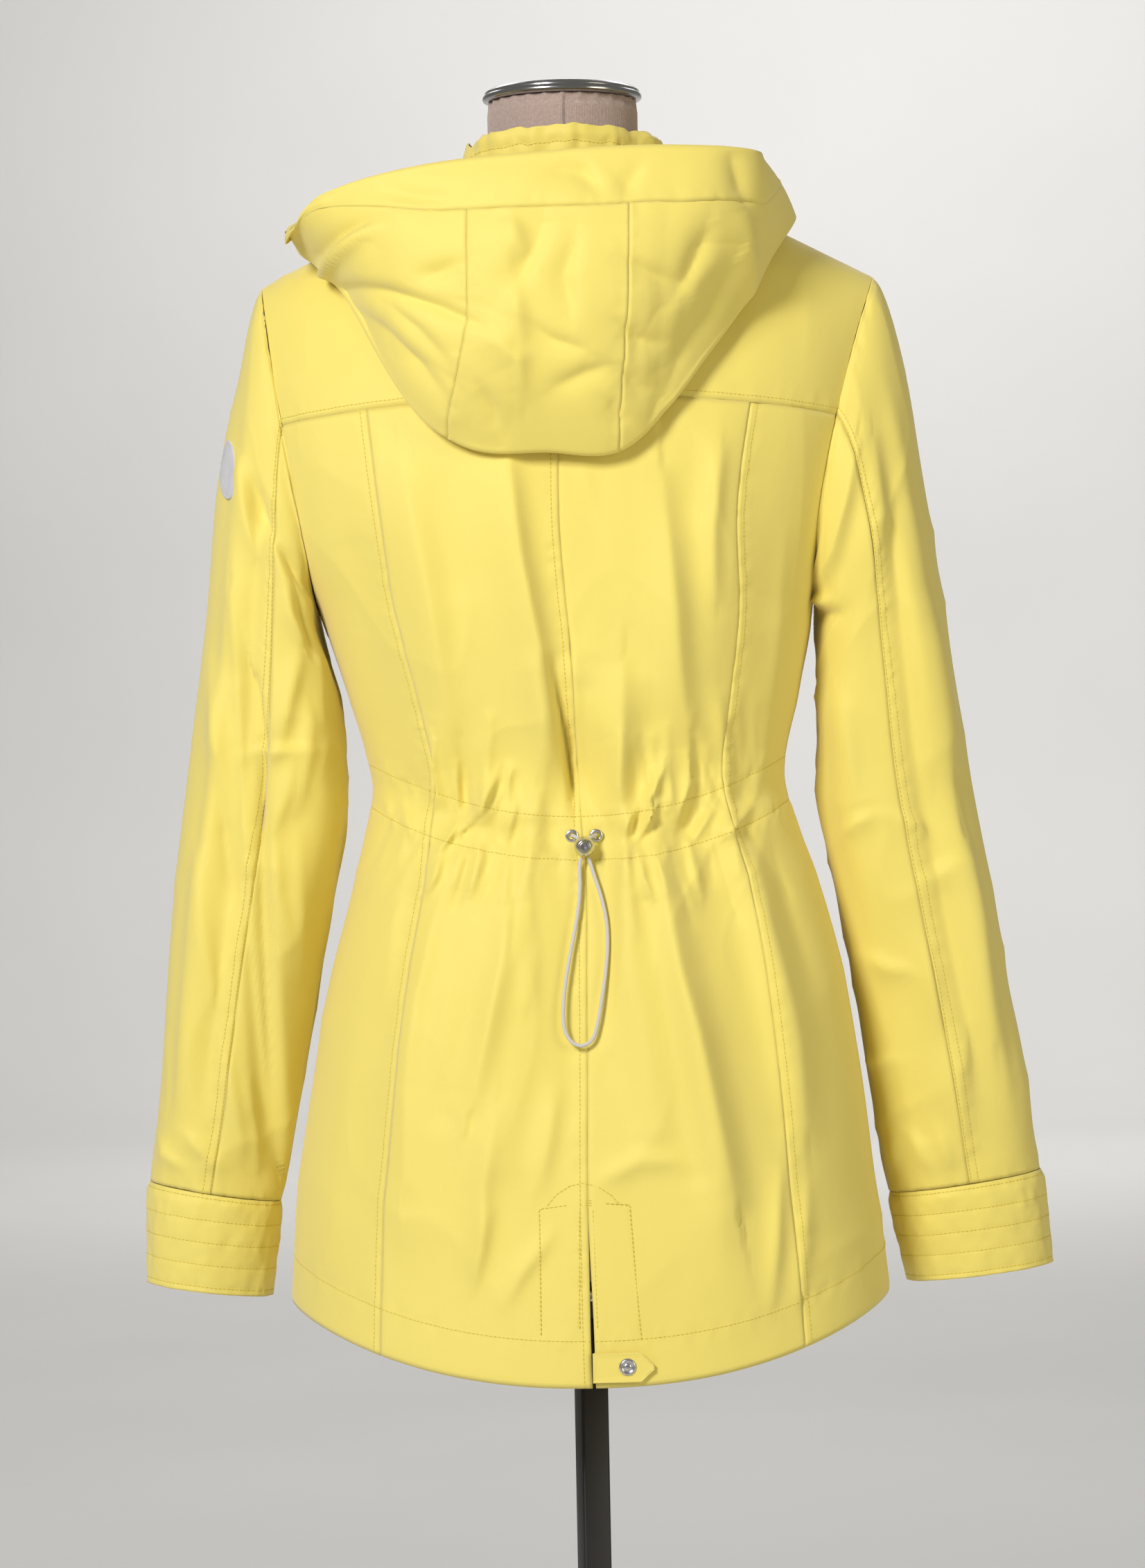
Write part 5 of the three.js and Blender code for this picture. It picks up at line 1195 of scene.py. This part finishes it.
stitch_path("vent", [(29.5, 688), (29, 768), (12, 770)], 90)
stitch_path("vent", [(-34, 684), (-28, 770), (-12, 771)], 90)
stitch_path("vent", [(24, 770), (18, 777), (9, 782.5), (1, 784), (-8, 782), (-17, 776), (-22, 770)], 60)
stitch_path("vent", [(5, 692), (3.5, 768)], 70)
stitch_path("vent", [(-6.5, 692), (-5, 768)], 70)
for z in (770, 771.5, 773):
    stitch_path("vent", [(4, z), (-4, z)], 12)

# The elastic comes out of two small eyelets and goes into a round spring lock whose button
# faces out; two short ends run from the eyelets into the lock's top.
EYELET_GAP, EYELET_HOLE, EYELET_RIM = 15.6, 2, 4.4
LOCK_RADIUS, LOCK_BUTTON = 6.75, 3.4


def reach_behind(x, z, radius):
    """The furthest that the back stands out behind a small round piece."""
    turn = np.linspace(0, 2 * np.pi, 13)
    return max(on_back(x + radius * np.cos(turn), z + radius * np.sin(turn))[0][:, 1].max(),
               on_back(x, z)[0][1])


lock_y = reach_behind(LOCK_X, EYELET_Z, EYELET_GAP / 2 + EYELET_RIM) + LOCK_RADIUS + 1.2
for name, left in (("left", 1), ("right", -1)):
    x = LOCK_X + left * EYELET_GAP / 2
    seat_y = reach_behind(x, EYELET_Z, EYELET_RIM) + SEAM + 0.3
    turned(f"eyelet_{name}", [(EYELET_HOLE, 0), (EYELET_RIM, 0), (EYELET_RIM - 0.3, 0.8), (EYELET_RIM - 1.2, 1.2),
                              (EYELET_HOLE + 0.3, 0.9), (EYELET_HOLE, 0)], (x, seat_y, EYELET_Z), (0, 1, 0),
           plated, "bright_metal", 40, node=f"waist_eyelet_{name}")
    into = np.array([left * 0.55, 0.1, 0.83])
    into /= np.linalg.norm(into)
    route = np.array([(x, seat_y - 1.2, EYELET_Z), (x - left * 0.2, seat_y + 1.6, EYELET_Z + 0.3),
                      (x - left * 0.6, seat_y + 3.6, EYELET_Z + 0.2),
                      np.array([LOCK_X, lock_y, LOCK_Z]) + into * (LOCK_RADIUS - 0.4)])
    way, _ = smooth_way(route, 30)
    points, faces, uv = tube(way, ELASTIC / 2, 12, (1, 0, 0))
    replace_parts(piece(f"elastic_{name}", points, faces, elastic, uv), f"waist_cord_{name}")
angle = np.linspace(0, np.pi, 40)
points, faces = lathe(np.stack([LOCK_RADIUS * np.sin(angle), -LOCK_RADIUS * np.cos(angle)], -1), 64,
                      (LOCK_X, lock_y, LOCK_Z), (0, 1, 0))
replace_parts(piece("spring_lock", points, faces, plated), "cord_lock")
turned("lock_button", [(0, -1), (LOCK_BUTTON + 0.9, -1), (LOCK_BUTTON + 0.9, 0.8), (LOCK_BUTTON, 1.1),
                       (LOCK_BUTTON - 0.4, 2.8), (LOCK_BUTTON - 1.2, 3.0), (0, 2.6)],
       (LOCK_X, lock_y + LOCK_RADIUS, LOCK_Z), (0, 1, 0), polished("lock_metal", (0.4, 0.4, 0.41), 0.2),
       "bright_metal", 48, node="cord_lock_button")

# A round patch of pale leather is sewn on the left sleeve by a ring of punched holes. Its face
# is plain.
BADGE_TURN, BADGE_AT, BADGE_RADIUS, BADGE_THICK = 0.415, 0.235, 17, 1.35


def pale_leather():
    paint = Paint("pale_leather")
    grain = paint.add("ShaderNodeTexVoronoi", {"feature": "DISTANCE_TO_EDGE"},
                      {"Vector": paint.where(), "Scale": 900.0})
    tone = paint.noise(160, 3)
    return paint.finish(paint.mix(tone, (0.55, 0.55, 0.55), (0.66, 0.66, 0.66)), roughness=tone * 0.2 + 0.55,
                        normal=paint.bump(grain, 0.0003, 0.5))


def sleeve_facing(rows, left, turn, at):
    """The sleeve's outward direction, from places a little way round and along it."""
    across = sleeve_place(rows, left, turn + 0.004, at) - sleeve_place(rows, left, turn - 0.004, at)
    down = sleeve_place(rows, left, turn, at + 0.004) - sleeve_place(rows, left, turn, at - 0.004)
    out = np.cross(across, down) * left
    return out / np.linalg.norm(out, axis=-1, keepdims=True)


ring, spoke = np.meshgrid(np.linspace(0, 2 * np.pi, 96, endpoint=False), np.linspace(0, 1, 30), indexing="ij")
badge_turn = BADGE_TURN + np.cos(ring) * spoke * BADGE_RADIUS / SLEEVE_GIRTH
badge_at = BADGE_AT - np.sin(ring) * spoke * BADGE_RADIUS / SLEEVE_LENGTH
facing_ = sleeve_facing(SLEEVE_LEFT, 1, badge_turn, badge_at)
from_rim = (1 - spoke) * BADGE_RADIUS
holes = np.exp(-((from_rim - 2.2) / 0.6) ** 2) * np.maximum(0, np.cos(ring * 48)) ** 2
rise = BADGE_THICK + 0.25 * ease(from_rim, 0, 0.8) - 0.45 * holes - 0.12 * np.exp(-((from_rim - 4) / 0.4) ** 2)
points = sleeve_place(SLEEVE_LEFT, 1, badge_turn, badge_at) + facing_ * rise[..., None]
rim_foot = points[:, -1:] - facing_[:, -1:] * 1.2
badge = piece("sleeve_patch", np.concatenate([points, rim_foot], 1), quads(96, 31, True)[:, ::-1], pale_leather())
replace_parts(badge, "sleeve_badge")

# The front closes with a moulded zip from hem to collar: two tapes, and teeth that mesh on the
# middle line. The slider stands near the top with its tab hanging.
TOOTH_PITCH = 3.4


def zip_line(v):
    """The zip's middle line: up the front at share 0, then up the front of the collar."""
    low = body_place(0 * v, np.minimum(v, 3), -np.ones_like(v))
    high = collar_place(np.ones_like(v), np.clip(v - 3, 0, 1)) + (0, 0.4, 0)
    line = np.where((v <= 3)[:, None], low, high)
    line[:, 0] = np.where(v <= 3, column(BODY, "z", "mid", line[:, 2]), 0)
    return line


line = zip_line(np.linspace(0, 4, 400))
forward = np.gradient(line, axis=0)
away = np.cross(forward, (1, 0, 0))
away /= -np.linalg.norm(away, axis=1, keepdims=True)
away *= -np.sign(away[:, 1:2])
width = np.linspace(-ZIP_WIDTH / 2, ZIP_WIDTH / 2, 11)
tape = line + width[:, None, None] * np.array([1, 0, 0]) + away * (0.3 * np.cos(width * 1.2) - 0.4)[:, None, None]


def zip_tape():
    paint = Paint("zip_tape")
    uv = paint.where("UV")
    twill = paint.threads(0.0008, "DIAGONAL", uv)
    return paint.finish(paint.mix(twill, (0.66, 0.52, 0.07), (0.8, 0.66, 0.1)), roughness=0.7,
                        normal=paint.bump(twill, 0.0003, 0.5))


cloth("zip_chain", tape, 1 if np.cross(tape[1, 0] - tape[0, 0], tape[0, 1] - tape[0, 0])[1] < 0 else -1,
      np.zeros(tape.shape[:2]), material=zip_tape())
run = np.r_[0, np.cumsum(np.linalg.norm(np.diff(line, axis=0), axis=1))]
at = np.arange(2, run[-1] - 2, TOOTH_PITCH / 2)
place, out, along = (np.stack([np.interp(at, run, part[:, c]) for c in range(3)], -1)
                     for part in (line, away, forward / np.linalg.norm(forward, axis=1, keepdims=True)))
lean = np.where(np.arange(len(at)) % 2, 1, -1)[:, None, None]
block = np.array([(x, y, z) for x in (-0.4, 2.6) for y in (-0.3, 0.9) for z in (-0.62, 0.62)])
tooth = (place[:, None] + lean * block[:, 0, None] * np.array([1, 0, 0]) + block[:, 1, None] * out[:, None]
         + block[:, 2, None] * along[:, None])
sides = np.array([(0, 1, 3, 2), (4, 6, 7, 5), (0, 4, 5, 1), (2, 3, 7, 6), (0, 2, 6, 4), (1, 5, 7, 3)])
numbers = np.arange(len(at))[:, None, None] * 8 + sides
numbers[lean[:, 0, 0] < 0] = numbers[lean[:, 0, 0] < 0][..., ::-1]
teeth = piece("zip_teeth", tooth, numbers.reshape(-1, 4), Paint("zip_teeth").finish((0.72, 0.58, 0.08), roughness=0.35))
for name in ("zip_slider", "zip_pull"):
    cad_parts[name].data.materials.clear()
    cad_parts[name].data.materials.append(plated)

for group in sewing:
    sewn_threads(group, thread)

# The dress form is a padded torso and neck covered in pale linen, with no arms or legs. The
# linen is drawn in under a plated cap, where it pleats into small dark scallops.
FORM = table("z half back front", """
    718 148 116 118
    760 158 124 122
    820 163 126 124
    900 148 114 110
    980 122 92 92
    1035 114 84 92
    1090 124 92 106
    1158 140 103 119
    1230 148 106 116
    1300 166 94 92
    1335 176 76 68
    1372 182 56 48
    1400 182 38 34
    1416 182 31 29
    1437 182 34 34""")
FORM_SEAT, FORM_NECK_X, FORM_NECK, FORM_TOP, FORM_FOOT = 10, 1, 50, 1492, 1437
CAP_RADIUS, CAP_THICK = 53, 9


def form_place(turn, z):
    """An oval of the table's sizes that narrows along the shoulder line to a round neck."""
    ridge = SHOULDER_X - (z + FORM_SEAT - SHOULDER_Z) * (SHOULDER_X - NECK_X) / (NECK_Z - SHOULDER_Z)
    s, c = np.sin(turn * 2 * np.pi), np.cos(turn * 2 * np.pi)
    low = z < FORM_FOOT
    half = np.where(low, np.minimum(column(FORM, "z", "half", z), ridge), FORM_NECK)
    deep = np.where(c > 0, column(FORM, "z", "back", z), column(FORM, "z", "front", z))
    deep, square = np.where(low, deep, FORM_NECK), np.where(low, 0.9, 1.0)
    lean = ease(z, UPPER_START, FORM_FOOT) * NECK_MIDDLE
    return np.stack([FORM_NECK_X + half * np.sign(s) * np.abs(s) ** square,
                     lean + deep * np.sign(c) * np.abs(c) ** square, z], -1)


def linen():
    paint = Paint("linen")
    uv = paint.where("UV")
    slub = paint.noise(500, 3)
    weave = (paint.threads(0.0011, "X", uv) + paint.threads(0.0011, "Y", uv)) * 0.5 * (slub * 0.8 + 0.6)
    shade = paint.mix(slub * 0.6 + weave * 0.4, (0.30, 0.205, 0.165), (0.66, 0.52, 0.45))
    return paint.finish(shade, roughness=0.95, sheen_weight=0.3, sheen_roughness=0.5,
                        normal=paint.bump(weave, 0.0006, 0.7))


heights = np.concatenate([np.linspace(718, 1370, 36), np.linspace(1374, 1436, 26), np.linspace(1438, FORM_TOP, 30)])
turn, z = np.meshgrid(np.linspace(0, 1, 160, endpoint=False), heights, indexing="ij")
grid = form_place(turn, z)
axis_ = np.array([FORM_NECK_X, NECK_MIDDLE, 0])
neck = ease(z, 1484, 1490)[..., None]
drawn = (np.abs(np.sin(turn * 26 * np.pi)) ** 0.5)[..., None] * neck * 0.05
grid = grid - (grid - axis_) * (1, 1, 0) * drawn
across, along = runs(grid)
under = form_place(turn[:, :1], z[:, :1]) * (0.02, 0.02, 1)
over = grid[:, -1:] * (0.02, 0.02, 1)
torso = piece("form_torso", np.concatenate([under, grid, over], 1), quads(160, len(heights) + 2, True)[:, ::-1],
              linen(), np.pad(np.stack([across, along], -1), ((0, 0), (1, 1), (0, 0)), mode="edge"))
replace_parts(torso, "form_body")
cap_z = FORM_TOP + SEAM
turned("cap", [(0, 0), (CAP_RADIUS - 2.5, 0), (CAP_RADIUS, 1.2), (CAP_RADIUS, 3.4), (CAP_RADIUS - 1.4, 4.6),
               (CAP_RADIUS - 1.4, 6.2), (CAP_RADIUS - 5, CAP_THICK - 0.6), (0, CAP_THICK)],
       (FORM_NECK_X, NECK_MIDDLE, cap_z), (0, 0, 1), polished("cap_metal", (0.42, 0.42, 0.43), 0.12), "bright_metal", 128,
       0.9, "neck_cap")

# The stand is black painted steel: a socket screwed under the form, a square pole turned a
# little to one side, and a round plate with a collar on the floor.
SOCKET_RADIUS, SOCKET_HEIGHT = 21, 34
POLE_SIDE, POLE_TURN, POLE_X = 19, 16, -2
BASE_RADIUS, BASE_THICK, HUB_RADIUS, HUB_HEIGHT = 185, 12, 30, 38


def black_paint():
    paint = Paint("black_paint")
    speckle, worn = paint.noise(900, 2), paint.noise(14, 4)
    return paint.finish(paint.mix(worn, (0.013, 0.012, 0.012), (0.024, 0.022, 0.021)), roughness=worn * 0.2 + 0.3,
                        specular_ior_level=0.35, normal=paint.bump(speckle, 0.0001, 0.25))


painted = black_paint()
foot = 718 - SEAM
inner = POLE_SIDE * np.sqrt(0.5) + SEAM
turned("socket", [(inner, -SOCKET_HEIGHT), (SOCKET_RADIUS, -SOCKET_HEIGHT), (SOCKET_RADIUS, -4),
                  (SOCKET_RADIUS + 14, -4), (SOCKET_RADIUS + 14, 0), (inner, 0), (inner, -SOCKET_HEIGHT)],
       (POLE_X, 0, foot), (0, 0, 1), painted, "black_metal", 72, 0.8, "form_socket")
turned("screw", [(0, 0), (4.2, 0), (4.2, 2.5), (3, 3.6), (1.4, 3.6), (1.2, 2.6), (0, 2.6)],
       (POLE_X, SOCKET_RADIUS + SEAM, foot - SOCKET_HEIGHT * 0.55), (0, 1, 0), plated, "bright_metal", 32,
       node="socket_screw")
corner = np.linspace(0, 2 * np.pi, 65)[:-1]
round_ = 2.2
straight = POLE_SIDE / 2 - round_
outline = np.stack([np.sign(np.cos(corner)) * straight + round_ * np.cos(corner),
                    np.sign(np.sin(corner)) * straight + round_ * np.sin(corner)], -1)
tilt = np.deg2rad(POLE_TURN)
outline = outline @ np.array([[np.cos(tilt), np.sin(tilt)], [-np.sin(tilt), np.cos(tilt)]])
ends = np.array([BASE_THICK + SEAM, BASE_THICK + SEAM + 0.8, foot - SEAM - 0.8, foot - SEAM])
shrink = np.array([0.94, 1, 1, 0.94])[None, :, None]
points = np.concatenate([outline[:, None] * shrink + (POLE_X, 0),
                         np.broadcast_to(ends[None, :, None], (64, 4, 1))], -1)
faces = quads(64, 4, True).tolist() + [tuple(range(0, 256, 4))[::-1], tuple(range(3, 256, 4))]
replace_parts(piece("square_pole", points, faces, painted), "pole")
turned("plate_collar", [(inner, 0), (HUB_RADIUS, 0), (HUB_RADIUS, 6), (SOCKET_RADIUS, 12), (SOCKET_RADIUS, HUB_HEIGHT),
                        (inner, HUB_HEIGHT), (inner, 0)], (POLE_X, 0, BASE_THICK + SEAM), (0, 0, 1), painted,
       "black_metal", 72, 1.2, "base_collar")
turned("plate", [(0, 0), (BASE_RADIUS, 0), (BASE_RADIUS, BASE_THICK - 3), (BASE_RADIUS - 3, BASE_THICK),
                 (0, BASE_THICK)], (0, 0, 0), (0, 0, 1), painted, "black_metal", 128, 1.0, "base_plate")

# The studio: a pale floor that sweeps up into the wall, a large soft key light high on the left
# of the picture, a weaker one on the right, and an even grey room.
SWEEP_NEAR, SWEEP_FAR, SWEEP_HIGH, SWEEP_ROUND = 9000, -12500, 6500, 1800
BACKDROP = (0.62, 0.62, 0.62)
ROOM = (1.0, 0.96, 0.87)

way = [(SWEEP_NEAR, 0), (SWEEP_FAR + SWEEP_ROUND, 0)]
way += [(SWEEP_FAR + SWEEP_ROUND * (1 - np.sin(a)), SWEEP_ROUND * (1 - np.cos(a)))
        for a in np.linspace(0, np.pi / 2, 24)[1:]]
way = np.array(way + [(SWEEP_FAR, SWEEP_HIGH)])
sideways = np.linspace(-5200, 5200, 9)
points = np.stack(np.broadcast_arrays(sideways[:, None], way[None, :, 0], way[None, :, 1]), -1)
paper = Paint("paper")
backdrop = piece("backdrop", points, quads(9, len(way)), paper.finish(
    paper.mix(paper.noise(1.5, 2), BACKDROP, (0.68, 0.665, 0.645)), roughness=0.9), body=None)


def area_light(name, place, aim, wide, high, power, colour=(1, 1, 1)):
    light = bpy.data.lights.new(name, "AREA")
    light.shape, light.size, light.size_y, light.energy, light.color = "RECTANGLE", wide, high, power, colour
    shown = bpy.data.objects.new(name, light)
    bpy.context.scene.collection.objects.link(shown)
    shown.location = place
    shown.rotation_euler = (Vector(aim) - Vector(place)).to_track_quat("-Z", "Y").to_euler()


area_light("key", (1.55, 2.75, 2.6), (0, 0, 1.05), 0.8, 1.0, 100, (1, 0.985, 1.03))
area_light("fill", (-2.7, 2.0, 1.6), (0, 0, 1.05), 1.4, 1.8, 27, (1, 0.93, 0.72))
area_light("wall", (-1.0, -8.4, 4.6), (-0.6, -12.5, 1.4), 5.0, 1.4, 230)
area_light("overhead", (0, -4.2, 3.9), (0, -4.7, 0), 4.0, 3.4, 105)
room = bpy.data.worlds.new("room")
room.use_nodes = True
room.node_tree.nodes["Background"].inputs["Color"].default_value = (*ROOM, 1)
room.node_tree.nodes["Background"].inputs["Strength"].default_value = 0.24
bpy.context.scene.world = room
bpy.context.scene.view_settings.view_transform = "Standard"
